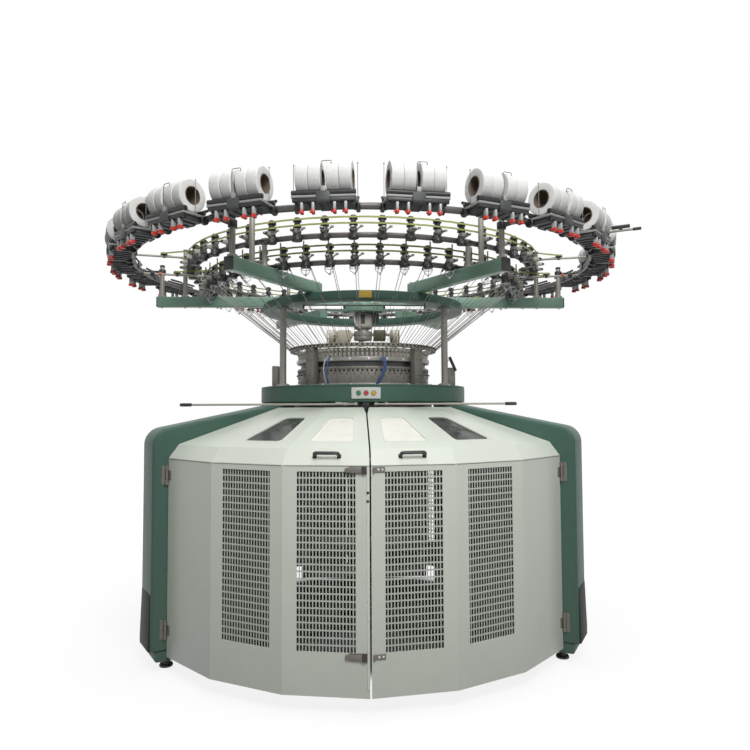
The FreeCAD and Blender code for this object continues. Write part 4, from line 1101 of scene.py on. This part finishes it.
def wire_basket(inner, height):
    """Clear wire guide under a lower feeder: a ring and three bent legs that meet at its eye."""
    parts = [lathe(circle(1.6, 6) + (25, -40), 20, closed=True),
             lathe([(5, -76), (6, -74), (6, -68), (4, -65)], 10)]
    for azimuth in (30, 150, 270):
        path = polar(1.0, azimuth)[None] * np.array([26, 27, 22, 10, 3])[:, None]
        path[:, 2] = [-30, -44, -56, -66, -70]
        parts.append(sweep(circle(2.2, 6), path, up=(0.1, 0.2, 1)))
    return [put(part, (0, -(inner + 24.0), height)) for part in parts]


def feeder_reach(radius):
    """Distance from the axis to a feeder's inner face on a 24-sided ring, at half a step's turn."""
    flat = (radius + 15.0) * math.cos(math.radians(7.5))
    t = math.radians(3.75)
    return flat / math.cos(t) + 17.0 * math.tan(t)


def build_feeders():
    count = sizes().feeders
    azimuths = (np.arange(count) + 0.5) * 360.0 / count
    for name, (radius, height) in (("lower", LOWER_RING), ("upper", UPPER_RING)):
        inner = feeder_reach(radius)
        black, grey, light = feeder_unit(inner, height)
        make(name + "_feeder_bodies", "feeder_black", "feeder_black", *black, about=azimuths,
             node=name + "_feeders")
        make(name + "_feeder_wheels", "feeder_grey", "feeder_black", *grey, about=azimuths)
        make(name + "_feeder_arms", "feeder_light", "feeder_black", *light, about=azimuths)
        if name == "lower":
            make("feeder_baskets", "wire_clear", "tube_clear", *wire_basket(inner, height),
                 about=azimuths)
    make("feeder_drop_rods", "tray_grey", "pipe_steel", put(rod(4.2, 112, 0, 8), (0, -1062, 2240)),
         about=azimuths)
    belt_loops()


def belt_loops():
    """Two toothed belts on each ring, as straight lengths from feeder to feeder."""
    corners_round, thickness, half_width = 48, 2.6, 4.5
    belts = []
    for radius, height in (LOWER_RING, UPPER_RING):
        r = (feeder_reach(radius) + FEEDER_DEPTH) / math.cos(math.pi / corners_round) + 0.4
        for level in BELT_LEVELS:
            z = height + level
            section = corners((r, r + thickness), (z - half_width, z + half_width))
            belts.append(lathe(section, corners_round, closed=True))
    piece = make("belt_loops", "belt_green", "belt_green", *belts, node="feeder_belts")
    unwrap(piece, "turn", about_machine_axis)


def about_machine_axis(points):
    """Angle about the upright axis and height of each point."""
    x, y, z = points.T
    return np.arctan2(y, x), z


def unwrap(piece, name, measure):
    """UV map: u is the share of a turn, v a length in metres, from each point's angle and length.

    Within a face u takes the whole turn that keeps it nearest to the face's first corner.
    """
    mesh = piece.data
    layer = mesh.uv_layers.new(name=name)

    def read(items, key, width=1, kind=int):
        values = np.zeros(len(items) * width, kind)
        items.foreach_get(key, values)
        return values
    angle, length = measure(read(mesh.vertices, "co", 3, float).reshape(-1, 3))
    index = read(mesh.loops, "vertex_index")
    u = angle[index] / (2 * np.pi)
    first = np.repeat(u[read(mesh.polygons, "loop_start")], read(mesh.polygons, "loop_total"))
    layer.data.foreach_set("uv", np.stack([u + np.round(first - u), length[index]], 1).ravel())


# Creel

def build_creel():
    radius = SPOOL_AXIS[0]
    loaded = (LOADED + 0.5) * UNIT_STEP
    roller = lathe([(9, 0), (12.6, 1.5), (12.6, 290.5), (9, 292)], 16)
    make("creel_rollers", "black_plastic", "black_plastic",
         *[put(roller, (-146, -radius + side * 56, ROLLER_Z), RIGHT) for side in (-1, 1)],
         about=UNIT_AZIMUTHS, node="spool_rollers")
    creel_trays()
    creel_sensors()
    wire = sizes().wire * 500.0
    line = eased([(-8, -1640, 2430), (-8, -1640, 2550), (38, -1640, 2550), (38, -1640, 2538)],
                 (0, 10, 6, 0), 4, closed=False)
    hoop = sweep(circle(wire, 8), line, up=(0, 1, 0))
    knob = lathe([(1, -4), (4, 0), (1, 4)], 8)
    guards = [joined(bar(wire * 0.75, (x, -radius, 2384), (x, -radius, 2560), 6),
                     put(knob, (x, -radius, 2560))) for x in (-147, 147)]
    make("creel_hoops", "tray_grey", "pipe_steel", hoop, *guards, about=loaded)
    cheeses(loaded)


def creel_trays():
    """A unit's folded tray with its knob, the dark casting under it, and its black bars and caps."""
    lip = slab(eased([(1508, 2386), (1638, 2386), (1641, 2389), (1641, 2397.6), (1508, 2397.6)], 1, 1),
               -145, 145, 1.5, 1)
    make("creel_trays", "tray_plate", "tray_grey", put(lip, turn=SIDE_VIEW),
         block((-11, 11), (-1646, -1628), (2412, 2436), 3, 2), about=UNIT_AZIMUTHS,
         node="spool_frames")
    middle = slab(eased([(1612, 2364), (1640, 2362), (1647, 2372), (1647, 2410), (1640, 2417), (1612, 2412)],
                        4, 2), -31, 31, 3, 2)
    ribs = [block((x - 4, x + 4), (-1622, -1512), (2361, 2369), 1) for x in (-128, -74, -22, 26, 76, 128)]
    make("creel_undersides", "tray_dark", "tray_grey", put(middle, turn=SIDE_VIEW),
         block((-134, 134), (-1616, -1514), (2367, 2386), 3, 2), *ribs, about=UNIT_AZIMUTHS)
    bars = [block(x, (-1498, -1488), (2421, 2434), 2) for x in ((14, 146), (-146, -14))]
    cap = lathe([(8, 0), (20, 0), (23, 3), (23, 15), (20, 18), (8, 18)], 20)
    make("creel_bars", "black_plastic", "black_plastic",
         block((-141, 141), (-1637, -1618), (2369, 2386), 2, 2), *bars,
         *[put(cap, (x, -1512, 2375), RIGHT) for x in (-152, 134)],
         block((-36, 36), (-1486, -1478), (2372, 2424), 3), about=UNIT_AZIMUTHS)


def creel_sensors():
    """Four yarn sensors under each unit: a pale stem and a red tip with a peg to its left."""
    stems, tips = [], []
    for x in (-98, -47, 50, 100):
        stems.append(block((x - 6.5, x + 6.5), (-1636, -1612), (2334, 2368), 3, 2))
        tips.append(block((x - 8, x + 8), (-1640, -1608), (2316, 2334), 4, 2))
        tips.append(put(rod(4, 10, 1, 10), (x - 16, -1626, 2324), RIGHT))
    make("sensor_stems", "sensor_pale", "tube_clear", *stems, about=UNIT_AZIMUTHS)
    make("sensor_tips", "sensor_red", "button", *tips, about=UNIT_AZIMUTHS)


def cheeses(loaded):
    """Two pairs of wound cheeses on each loaded tray, each cheese with its own rounded rim."""
    radius, axis_z = SPOOL_AXIS
    width, tube_radius, gap = 57.5, 45, 24
    shells, tubes = [], []
    for near in (-gap / 2 - 2 * width, gap / 2):
        for k in (0, 1):
            place = (near + k * width, -radius, axis_z)
            wound = 81.6 - 0.8 * k
            section = eased(corners((tube_radius, wound), (0.6, width - 0.6)), (1.5, 5, 5, 1.5), 3)
            shells.append(put(lathe(section, 48, closed=True), place, RIGHT))
            tubes.append(put(band(41, tube_radius, -1.2, width + 1.2, 0.6, 36, 1), place, RIGHT))

    def about_cheese_axis(points):
        """Angle about a cheese's own axis, and the way along it and out from it."""
        at_front = np.einsum("kji,knj->kni", turns(loaded), points.reshape(len(loaded), -1, 3))
        x, y, z = at_front.reshape(-1, 3).T
        y, z = y + radius / 1000, z - axis_z / 1000
        return np.arctan2(z, y), x + np.hypot(y, z)
    piece = make("elastane_cheeses", "spool_white", "spool_white", *shells, about=loaded,
                 node="elastane_spools")
    unwrap(piece, "wound", about_cheese_axis)
    make("cheese_tubes", "tube_brown", "spool_white", *tubes, about=loaded)


# Yarn path and belt tensioners

def build_yarn_path():
    azimuths = steps_of(48) + 3.75
    make("yarn_tube_fan", "tube_clear", "tube_clear", bar(2.4, (0, -979, 2234), (0, -497, 1850), 7),
         bar(1.9, (14, -984, 2216), (16, -498, 1842), 7), about=azimuths, node="yarn_tubes")
    bell = lathe([(3.8, 0), (5.5, 4), (5.5, 22), (3.8, 26)], 8)
    make("yarn_tube_ends", "feeder_black", "black_plastic",
         put(bell, (0, -979, 2234), towards((0, 39, -31))), about=azimuths)


def belt_tensioner(ring, height, end):
    """A rod that stands out from a ring at the belts' height, with its grip, knob, wheel and loop."""
    y = ring * math.cos(math.radians(7.5))
    level = height + 64.0
    reach = ring + 43 + (190 if ring < 1100 else 150)
    belt_z, wheel_radius, back = level + 16, 21.5, ring + 56
    wheel = lathe([(16, -6), (22, -6), (22, -4.6), (20, -4.2), (20, 4.2), (22, 4.6), (22, 6), (16, 6)], 24)
    t = np.linspace(-math.pi / 2, math.pi / 2, 11)
    arc = np.stack([wheel_radius * np.sin(t), -reach - wheel_radius * np.cos(t), np.full(11, belt_z)], 1)
    path = np.concatenate([[(-150, -back, belt_z), (-110, -back - 6, belt_z)], arc,
                           [(110, -back - 6, belt_z), (150, -back, belt_z)]])

    def along(radius, start, stop, z, sides, edge):
        return bar(radius, (0, -end + start, z), (0, -end + stop, z), sides, edge)
    return {
        "bars": joined(bar(7, (0, -y + 15, level), (0, -end + 12, level), 14, 1),
                       block((-9, 9), (-y - 9, -y + 15), (height + 13, level + 9), 2)),
        "grips": joined(along(8.5, 52, 0, level, 16, 2), along(21, 92, 116, level, 20, 3),
                        bar(5, (-30, -end + 104, level + 4), (30, -end + 104, level + 4), 10, 1)),
        "knobs": along(11, 140, 158, level + 4, 16, 4),
        "wheels": joined(put(wheel, (0, -reach, belt_z)),
                         block((-8, 8), (-reach - 10, -reach + 10), (level - 9, level + 12), 2)),
        "belts": sweep(rectangle(2.6, 9), path)}


def creel_rod():
    """The one rod at the creel's height on the right, with its handle, clamp, end and knob."""
    level = 2465.0
    return {
        "bars": joined(bar(7, (0, -1430, level), (0, -1790, level), 14, 1),
                       block((-9, 9), (-1512, -1488), (2404, level + 9), 2)),
        "grips": joined(bar(11, (0, -1640, level + 22), (0, -1740, level + 22), 18, 3),
                        block((-7, 7), (-1700, -1680), (level, level + 24), 2),
                        bar(9, (0, -1755, level), (0, -1800, level), 16, 2),
                        block((-20, 20), (-1590, -1560), (level - 12, level + 14), 3)),
        "knobs": bar(12, (0, -1540, level + 4), (0, -1558, level + 4), 16, 4)}


def build_tensioners():
    parts = {kind: [] for kind in ("bars", "grips", "knobs", "wheels", "belts")}
    rods = [(azimuth, belt_tensioner(*ring, end)) for azimuth in (-75.0, 75.0)
            for ring, end in ((LOWER_RING, 1485.0), (UPPER_RING, 1645.0))]
    for azimuth, shells in rods + [(60.0, creel_rod())]:
        for kind, shell in shells.items():
            parts[kind].append(round_about(shell, [azimuth]))
    make("tension_rod_bars", "column_steel", "pipe_steel", *parts["bars"], node="tension_rods")
    make("tension_grips", "black_plastic", "black_plastic", *parts["grips"])
    make("tension_knobs", "knob_orange", "button", *parts["knobs"])
    make("tension_wheels", "feeder_black", "feeder_black", *parts["wheels"])
    make("tension_belts", "belt_green", "belt_green", *parts["belts"])


# Doors

def facet_frame(azimuth):
    """Turn and origin of an upright facet: across, up and out of it."""
    r = turns([azimuth])[0]
    out = r @ np.array([0, -1.0, 0])
    return axes(r @ np.array([1.0, 0, 0]), UP, out), out * DOOR_RADIUS * FACET


def roof_frame(azimuth):
    """Turn and origin of a roof facet: across, up its slope and out of it."""
    low = np.array([HOOD_FOLD_RADIUS * FACET, HOOD_FOLD])
    high = np.array([HOOD_TOP_RADIUS * FACET, HOOD_TOP])
    run, rise = high - low
    length = math.hypot(run, rise)
    up = np.array([0, -run / length, rise / length])
    out = np.array([0, -rise / length, -run / length])
    r = turns([azimuth])[0]
    return axes(r @ np.array([1.0, 0, 0]), r @ up, r @ out), r @ np.array([0, -low[0], low[1]])


def window_outline(margin):
    """Trapezoid of a roof window, across and up the slope."""
    low, high, start, end = 116.0 + margin, 67.0 + margin, 88.0 - margin, 446.0 + margin
    return np.array([(-low, start), (low, start), (high, end), (-high, end)])


def frame_of(inner, outer, low, high):
    """A flat frame with thickness between two outlines, as a closed ring of four-sided sections."""
    rows = np.stack([np.column_stack([line, np.full(len(line), z)])
                     for line, z in ((inner, low), (outer, low), (outer, high), (inner, high))])
    return skin(rows, closed=True)


def leaf_shells(latch_side):
    """Detail of a left-hand leaf, in the machine's frame, as lists by kind."""
    s = sizes()
    found = {kind: [] for kind, *_ in DOOR_DETAIL}
    panel_width, panel_height, panel_bottom = 294.0, 858.0, 294.0
    # The outer facet's window gets the painted-shade glass and the inner facet's the painted-reflection
    # glass
    for pane_kind, azimuth in zip(("pane_dark", "pane_pale"), MESH_FACETS):
        turn, origin = facet_frame(azimuth)
        mesh = plate_with_slots(panel_width, panel_height, s.slots_across, s.slots_down, 10.8, 27.0, 1.6)
        found["mesh"].append(put(mesh, origin + turn @ np.array([0, panel_bottom, -4.4]), turn))
        turn, origin = roof_frame(azimuth)
        pane = slab(eased(window_outline(8.0), 12, 3), -7.3, -4.3, 0.8, 1)
        seal = frame_of(eased(window_outline(-3.0), 30, 5), eased(window_outline(2.0), 3, 5), -4.2, 1.2)
        found[pane_kind].append(put(pane, origin, turn))
        found["seals"].append(put(seal, origin, turn))
    found["handle"].append(bow_handle(MESH_FACETS[1]))
    # A thin strip just under each fold in a darker copy of the door paint: partly the seam, partly painted
    # shade under the fold
    for azimuth in (-45.833, -27.5, -9.1667):
        turn, origin = facet_frame(azimuth)
        fold = block((-210, 210), (DOOR_FOLD - 6, DOOR_FOLD - 3.5), (-0.5, 0.35))
        found["folds"].append(put(fold, origin, turn))
    for kind, shell in split_fittings(latch_side):
        turn, origin = facet_frame(MESH_FACETS[1])
        found[kind].append(put(shell, origin, turn))
    return found


def split_fittings(latch_side):
    """What sits along a leaf's edge at the split: levers and a strip, or the keepers they grip."""
    half = DOOR_RADIUS * math.sin(math.radians(HALF_FACET))
    end = half - 12
    start = end - (111 if latch_side else 60)
    for z in (281.0, 1157.0):
        if latch_side:
            lever = eased([(start, z - 11), (end - 16, z - 16), (end - 16, z + 16), (start, z + 11)],
                          (10, 3, 3, 10), 3)
            plate = block((start + 20, end), (z - 18, z + 18), (0, 3), 1)
            screws = at_points(cap_screw(3.6, 2.4), [(end - 9, z + d, 3) for d in (-12, 12)])
            yield "latch_ends", block((end - 30, end - 4), (z - 19, z + 19), (2, 14), 3, 2)
            yield "latches", joined(slab(lever, 1.5, 12, 2.5, 2), plate)
        else:
            plate = block((start, end), (z - 14, z + 14), (0, 4), 1.5)
            barrel = put(rod(5.5, 26, 1, 16), (end - 4, z - 13, 6), towards((0, 1, 0), (1, 0, 0)))
            screws = at_points(cap_screw(5, 2.4), [(start + d, z + 2, 4) for d in (13, 33)])
            yield "latches", joined(plate, barrel)
        yield "screws", screws
    if latch_side:
        # A raised strip along the latch edge in a lighter copy of the door paint: the strip is real, its
        # lighter colour a painted highlight
        yield "edge", block((half - 17, half - 7), (132, 1172), (0, 5), 1.5)
        for z in (1050.0, 1010.0):
            yield "stops", block((half - 18, half - 5), (z - 6, z + 6), (4, 9), 2)


def bow_handle(azimuth):
    """Bow handle across the narrow fold: a square bar on a U-shaped line with rounded bends."""
    run, rise = (DOOR_RADIUS - HOOD_FOLD_RADIUS) * FACET, HOOD_FOLD - DOOR_FOLD
    length = math.hypot(run, rise)
    normal = np.array([0, -rise / length, run / length])
    up = np.array([0, run / length, rise / length])
    middle = np.array([0, -(DOOR_RADIUS + HOOD_FOLD_RADIUS) / 2 * FACET, (DOOR_FOLD + HOOD_FOLD) / 2])
    across = np.array([1.0, 0, 0])
    half, height = 60.5, 33
    line = eased([(-half, 0.5), (-half, height), (half, height), (half, 0.5)], 18, 6, closed=False)
    path = middle + line[:, :1] * across + line[:, 1:] * normal
    grip = sweep(eased(rectangle(15.5, 15.5), 6, 2), path, up=up)
    feet = [put(block((-10, 10), (-11, 11), (0, 5), 1.5), middle + x * across,
                axes(across, up, normal)) for x in (-half, half)]
    return round_about(joined(grip, *feet), [azimuth])


def hinge_axis():
    """Plan position of a left-hand leaf's hinge axis, where two lines meet.

    One runs along the leg's side and one along the hinged facet, each moved out by the offset.
    """
    offset = 11.0
    leg, facet = math.radians(-LEG_AZIMUTH), math.radians(HINGED_FACET)
    a, b, c = math.cos(leg), math.sin(leg), LEG_HALF + offset
    d, e, f = math.sin(facet), -math.cos(facet), DOOR_RADIUS * FACET + offset
    det = a * e - b * d
    return np.array([(c * e - b * f) / det, (a * f - c * d) / det])


def hinge_shells():
    """A left-hand leaf's two hinges: what stays on the leg and what moves with the leaf."""
    half, knuckle, radius = 52.5, 26.2, 7.8
    axis = hinge_axis()
    leg_turn, facet_turn = turns([-LEG_AZIMUTH])[0], turns([HINGED_FACET])[0]
    on_leg = leg_turn.T @ np.array([*axis, 0])
    on_facet = facet_turn.T @ np.array([*axis, 0])
    face = -DOOR_RADIUS * FACET
    screw = cap_screw(3.6, 2.4)
    fixed, moving = [], []
    for z in (240.0, 1085.0):
        for low, high in ((z - half, z - 26.8), (z + 26.8, z + half)):
            fixed.append(put(rod(radius, high - low, 1.2, 20), (*axis, low)))
        fixed.append(put(rod(5, 5, 1.5, 16), (*axis, z - half), DOWN))
        fixed.append(put(rod(5, 5, 1.5, 16), (*axis, z + half)))
        plate = block((LEG_HALF, LEG_HALF + 4), (on_leg[1] - 28, on_leg[1] - 8.5), (z - half, z + half), 1)
        screws = at_points(screw, [(LEG_HALF + 4, on_leg[1] - 19, z + d) for d in (-38, 0, 38)], RIGHT)
        ears = [block((LEG_HALF, on_leg[0]), (on_leg[1] - 9, on_leg[1] - 1), levels, 1)
                for levels in ((z - 52, z - 27.2), (z + 27.2, z + 52))]
        fixed.append(put(joined(plate, screws, *ears), turn=leg_turn))
        moving.append(put(rod(radius, 2 * knuckle, 1.2, 20), (*axis, z - knuckle)))
        strap = block((on_facet[0] + 2, on_facet[0] + 28), (face - 4, face), (z - 26, z + 26), 1)
        ear = block((on_facet[0] - 3, on_facet[0] + 3), (on_facet[1], face - 2), (z - 26, z + 26), 0.8)
        screws = at_points(screw, [(on_facet[0] + 18, face - 4, z + d) for d in (-16, 16)], FRONT)
        moving.append(put(joined(strap, ear, screws), turn=facet_turn))
    return fixed, moving


# Each kind of detail has its finish, its slot and the end of the node's name that it stands for
DOOR_DETAIL = (
    ("mesh", "mesh_pale", "mesh_pale", "_mesh"),
    ("pane_dark", "pane_dark", "pane", "_windows"),
    ("pane_pale", "pane_pale", "pane", ""),
    ("seals", "seal_rubber", "door_pale", ""),
    ("screws", "bright_steel", "plate_silver", ""),
    ("handle", "black_plastic", "black_plastic", "_handle"),
    ("latches", "fitting_steel", "plate_silver", "_fittings"),
    ("latch_ends", "fitting_dark", "black_plastic", ""),
    ("stops", "fitting_dark", "black_plastic", ""),
    ("folds", "fold_shade", "door_pale", ""),
    ("edge", "edge_highlight", "door_pale", ""),
)


def build_doors():
    for side in ("left", "right", "rear"):
        dress(side + "_door_panels", "door_pale")
        dress(side + "_door_hood", "door_pale")
    left = leaf_shells(latch_side=True)
    right = {kind: [mirrored(shell) for shell in shells] for kind, shells in leaf_shells(False).items()}
    rear = {kind: [round_about(joined(*left[kind], *right[kind]), REAR_DOORS)] for kind in left}
    for prefix, body, leaf in (("left_door", "left_door", left), ("right_door", "right_door", right),
                               ("rear_door", "root", rear)):
        for kind, look, slot, node in DOOR_DETAIL:
            if leaf[kind]:
                make(prefix + "_" + kind + "_detail", look, slot, *leaf[kind], body=body,
                     node=prefix + node if node else "")
    fixed, moving = hinge_shells()
    fixed_right = [mirrored(shell) for shell in fixed]
    moving_right = [mirrored(shell) for shell in moving]
    make("left_door_hinge_leaf", "fitting_steel", "plate_silver", *moving, body="left_door")
    make("right_door_hinge_leaf", "fitting_steel", "plate_silver", *moving_right, body="right_door")
    at_rear = round_about(joined(*fixed, *fixed_right, *moving, *moving_right), REAR_DOORS)
    make("hinges_on_legs", "fitting_steel", "plate_silver", *fixed, *fixed_right, at_rear,
         node="door_hinges")


# Cylinder and take-down

def build_rotor():
    wall = eased([(347, 1487.5), (381, 1487.5), (381, 1700), (379, 1704), (379, 1836), (376, 1840),
                  (347, 1840)], 1.5, 1)
    make("cylinder_turned", "bright_steel", "rotor_grey", lathe(wall, 128, closed=True), body="rotor",
         node="needle_cylinder")
    make("drive_ring_turned", "rotor_grey", "rotor_grey", band(300, 470, 1427.5, 1487.5, 4, 96),
         body="rotor", node="drive_ring")
    plate = slab(eased([(-90, 330), (90, 330), (150, 1427.5), (-150, 1427.5)], 12, 3), -15, 15, 3, 2)
    cover = slab(eased([(-60, 620), (60, 620), (85, 940), (-85, 940)], 14, 3), -1.5, 1.5, 1, 1)
    plates = [put(shell, (side * x, 0, 0), END_VIEW) for side in (-1, 1)
              for shell, x in ((plate, 400.0), (cover, 416.5))]
    make("take_down_plates", "rotor_grey", "rotor_grey", *plates,
         block((-400, 400), (-80, 80), (330, 390), 5, 2), put(rod(30, 206, 2, 32), (0, 0, 125.5)),
         body="rotor", node="take_down_frame")
    make("take_down_rolls", "roller_pale", "roller_pale", *[
        take_down_roll(y, z, radius) for y, z, radius in
        ((-32, 1080, 30), (32, 1080, 30), (0, 1010, 36), (0, 520, 60))],
        body="rotor", node="take_down_rollers")


def take_down_roll(y, z, radius):
    """A roll between the take-down plates, with a thin journal at both ends."""
    journal = radius * 0.5
    profile = [(journal, 0), (journal, 20), (radius - 1.5, 21), (radius, 23), (radius, 747),
               (radius - 1.5, 749), (journal, 750), (journal, 770)]
    return put(lathe(profile, 32), (-385, y, z), RIGHT)


# Floor, light and camera

def seen_directly(recipe):
    """1 for camera, mirror and see-through rays, 0 for the light that falls on things."""
    rays = [recipe.node("ShaderNodeLightPath", output=name)
            for name in ("Is Camera Ray", "Is Glossy Ray", "Is Transmission Ray")]
    return (rays[0] + rays[1] + rays[2]).between(0.0, 1.0)


def floor_finish():
    """Pale floor: a soft matt sheet that also glows a little for the camera, so that it reads white, except
    under the machine, where the glow is left out as painted shade.
    """
    recipe = material("pale_floor")
    colour = tuple(bpy.context.scene.knitting_colours.floor)
    x, y = recipe.along("X"), recipe.along("Y")
    far = (x * x + y * y) ** 0.5
    white = recipe.mix(far.between(1.8, 4.5), shade(colour, 0.86), shade(colour, 1.02))
    # No glow under the machine or just below the front doors, so the floor there reads dark: painted shade
    from_shade_middle = (x * x + (y - 0.2) * (y - 0.2)) ** 0.5
    glow = recipe.mix(seen_directly(recipe) * from_shade_middle.between(1.0, 1.14), (0.0, 0.0, 0.0), white)
    grain = recipe.noise(3.0) * 0.2
    recipe.set(Base_Color=recipe.mix(grain, shade(colour, 0.2), shade(colour, 0.195)), Roughness=0.9,
               Specular_IOR_Level=0.0, Emission_Color=glow, Emission_Strength=1.0)
    return recipe.owner


def soft_world():
    """Even light from all round, and plain white where the camera looks past the machine."""
    world = bpy.data.worlds.new("soft_world")
    recipe = Recipe(world)
    light, white = (recipe.node("ShaderNodeBackground", inputs={"Color": (1.0, 1.0, 1.0, 1.0),
                                                                "Strength": strength})
                    for strength in (0.2, 1.0))
    both = recipe.node("ShaderNodeMixShader", inputs={0: seen_directly(recipe), 1: light, 2: white})
    recipe.plug(recipe.tree.nodes["World Output"].inputs["Surface"], both)
    bpy.context.scene.world = world


def placed(name, data, matrix):
    """A new object in the scene at a place of its own, for lamps and the camera."""
    made = bpy.data.objects.new(name, data)
    made.matrix_world = matrix
    bpy.context.scene.collection.objects.link(made)
    return made


def lamp(name, place, aim, size, power):
    data = bpy.data.lights.new(name, "AREA")
    data.energy = power
    data.shape = "SQUARE"
    data.size = size
    turn = towards(np.array(place, float) - np.array(aim, float))
    placed(name, data, Matrix.Translation(place) @ Matrix(turn.tolist()).to_4x4())


def photo_camera():
    """The camera's place and turns as they were worked out for the photograph, in metres and degrees."""
    place, heading, pitch, roll = (-0.1069, -4.4477, 1.45), -2.4296, 92.971, -0.2572
    data = bpy.data.cameras.new("photo_camera")
    data.lens = sizes().lens
    data.sensor_width = 36.0
    data.sensor_fit = "HORIZONTAL"
    data.clip_end = 100.0
    matrix = Matrix.Translation(place)
    for angle, axis in ((heading, "Z"), (pitch, "X"), (roll, "Z")):
        matrix = matrix @ Matrix.Rotation(math.radians(angle), 4, axis)
    bpy.context.scene.camera = placed("photo_camera", data, matrix)


def build_stage():
    half = 40.0
    mesh = bpy.data.meshes.new("pale_floor")
    mesh.from_pydata([(x, y, 0) for x, y in corners((-half, half), (-half, half))], [], [(0, 1, 2, 3)])
    mesh.materials.append(floor_finish())
    floor = bpy.data.objects.new("pale_floor", mesh)
    bpy.context.scene.collection.objects.link(floor)
    soft_world()
    lamp("front_light", (0.7, -4.7, 4.8), (0.0, 0.0, 1.2), 2.5, 180.0)
    lamp("overhead_light", (0.0, 0.3, 9.0), (0.0, 0.0, 1.2), 4.0, 290.0)
    photo_camera()
    bpy.context.scene.view_settings.view_transform = "Standard"


# Add-on

class KNITTING_OT_stage(bpy.types.Operator):
    """Makes the floor, the lights and the camera"""

    bl_idname = "knitting.stage"
    bl_label = "Floor, light and camera"

    def execute(self, context):
        build_stage()
        return {"FINISHED"}


class KNITTING_OT_legs(bpy.types.Operator):
    """Makes the legs, the base and the feet"""

    bl_idname = "knitting.legs"
    bl_label = "Legs and base"

    def execute(self, context):
        build_legs()
        return {"FINISHED"}


class KNITTING_OT_bed(bpy.types.Operator):
    """Makes the bed, its control plate and the stop rods"""

    bl_idname = "knitting.bed"
    bl_label = "Bed"

    def execute(self, context):
        build_bed()
        return {"FINISHED"}


class KNITTING_OT_head(bpy.types.Operator):
    """Makes the cam boxes, the guides and what stands round them"""

    bl_idname = "knitting.head"
    bl_label = "Head"

    def execute(self, context):
        build_head()
        return {"FINISHED"}


class KNITTING_OT_upper_frame(bpy.types.Operator):
    """Makes the columns, the upper ring and the arms"""

    bl_idname = "knitting.upper_frame"
    bl_label = "Upper frame"

    def execute(self, context):
        build_upper_frame()
        return {"FINISHED"}


class KNITTING_OT_centre(bpy.types.Operator):
    """Makes the hanging gearbox and the fans"""

    bl_idname = "knitting.centre"
    bl_label = "Gearbox and fans"

    def execute(self, context):
        build_centre()
        return {"FINISHED"}


class KNITTING_OT_rings(bpy.types.Operator):
    """Makes the three pipe rings and their posts"""

    bl_idname = "knitting.rings"
    bl_label = "Rings"

    def execute(self, context):
        build_rings()
        return {"FINISHED"}


class KNITTING_OT_feeders(bpy.types.Operator):
    """Makes the storage feeders and their belts"""

    bl_idname = "knitting.feeders"
    bl_label = "Feeders and belts"

    def execute(self, context):
        build_feeders()
        return {"FINISHED"}


class KNITTING_OT_creel(bpy.types.Operator):
    """Makes the trays, rollers, sensors and cheeses"""

    bl_idname = "knitting.creel"
    bl_label = "Creel"

    def execute(self, context):
        build_creel()
        return {"FINISHED"}


class KNITTING_OT_yarn_path(bpy.types.Operator):
    """Makes the yarn tubes"""

    bl_idname = "knitting.yarn_path"
    bl_label = "Yarn tubes"

    def execute(self, context):
        build_yarn_path()
        return {"FINISHED"}


class KNITTING_OT_tensioners(bpy.types.Operator):
    """Makes the rods, wheels and grips of the tensioners"""

    bl_idname = "knitting.tensioners"
    bl_label = "Belt tensioners"

    def execute(self, context):
        build_tensioners()
        return {"FINISHED"}


class KNITTING_OT_doors(bpy.types.Operator):
    """Makes the detail of the enclosure's doors"""

    bl_idname = "knitting.doors"
    bl_label = "Doors"

    def execute(self, context):
        build_doors()
        return {"FINISHED"}


class KNITTING_OT_rotor(bpy.types.Operator):
    """Makes the cylinder, the drive ring and the take-down"""

    bl_idname = "knitting.rotor"
    bl_label = "Rotor"

    def execute(self, context):
        build_rotor()
        return {"FINISHED"}


OPERATORS = [
    KNITTING_OT_stage,
    KNITTING_OT_legs,
    KNITTING_OT_bed,
    KNITTING_OT_head,
    KNITTING_OT_upper_frame,
    KNITTING_OT_centre,
    KNITTING_OT_rings,
    KNITTING_OT_feeders,
    KNITTING_OT_creel,
    KNITTING_OT_yarn_path,
    KNITTING_OT_tensioners,
    KNITTING_OT_doors,
    KNITTING_OT_rotor,
]


class KNITTING_PT_panel(bpy.types.Panel):
    """Lists the sizes, the colours and the steps."""

    bl_label = "Knitting machine"
    bl_idname = "KNITTING_PT_panel"
    bl_space_type = "VIEW_3D"
    bl_region_type = "UI"
    bl_category = "Knitting"

    def draw(self, context):
        for group in (context.scene.knitting_sizes, context.scene.knitting_colours):
            for name in group.bl_rna.properties.keys():
                if name not in ("rna_type", "name"):
                    self.layout.prop(group, name)
        for operator in OPERATORS:
            self.layout.operator(operator.bl_idname)


CLASSES = [KnittingColours, KnittingSizes, KNITTING_PT_panel] + OPERATORS


def register():
    for cls in CLASSES:
        bpy.utils.register_class(cls)
    bpy.types.Scene.knitting_colours = bpy.props.PointerProperty(type=KnittingColours)
    bpy.types.Scene.knitting_sizes = bpy.props.PointerProperty(type=KnittingSizes)


def unregister():
    del bpy.types.Scene.knitting_sizes
    del bpy.types.Scene.knitting_colours
    for cls in reversed(CLASSES):
        bpy.utils.unregister_class(cls)


def main():
    register()
    for operator in OPERATORS:
        getattr(bpy.ops.knitting, operator.bl_idname.split(".")[1])()


if __name__ == "__main__":
    main()
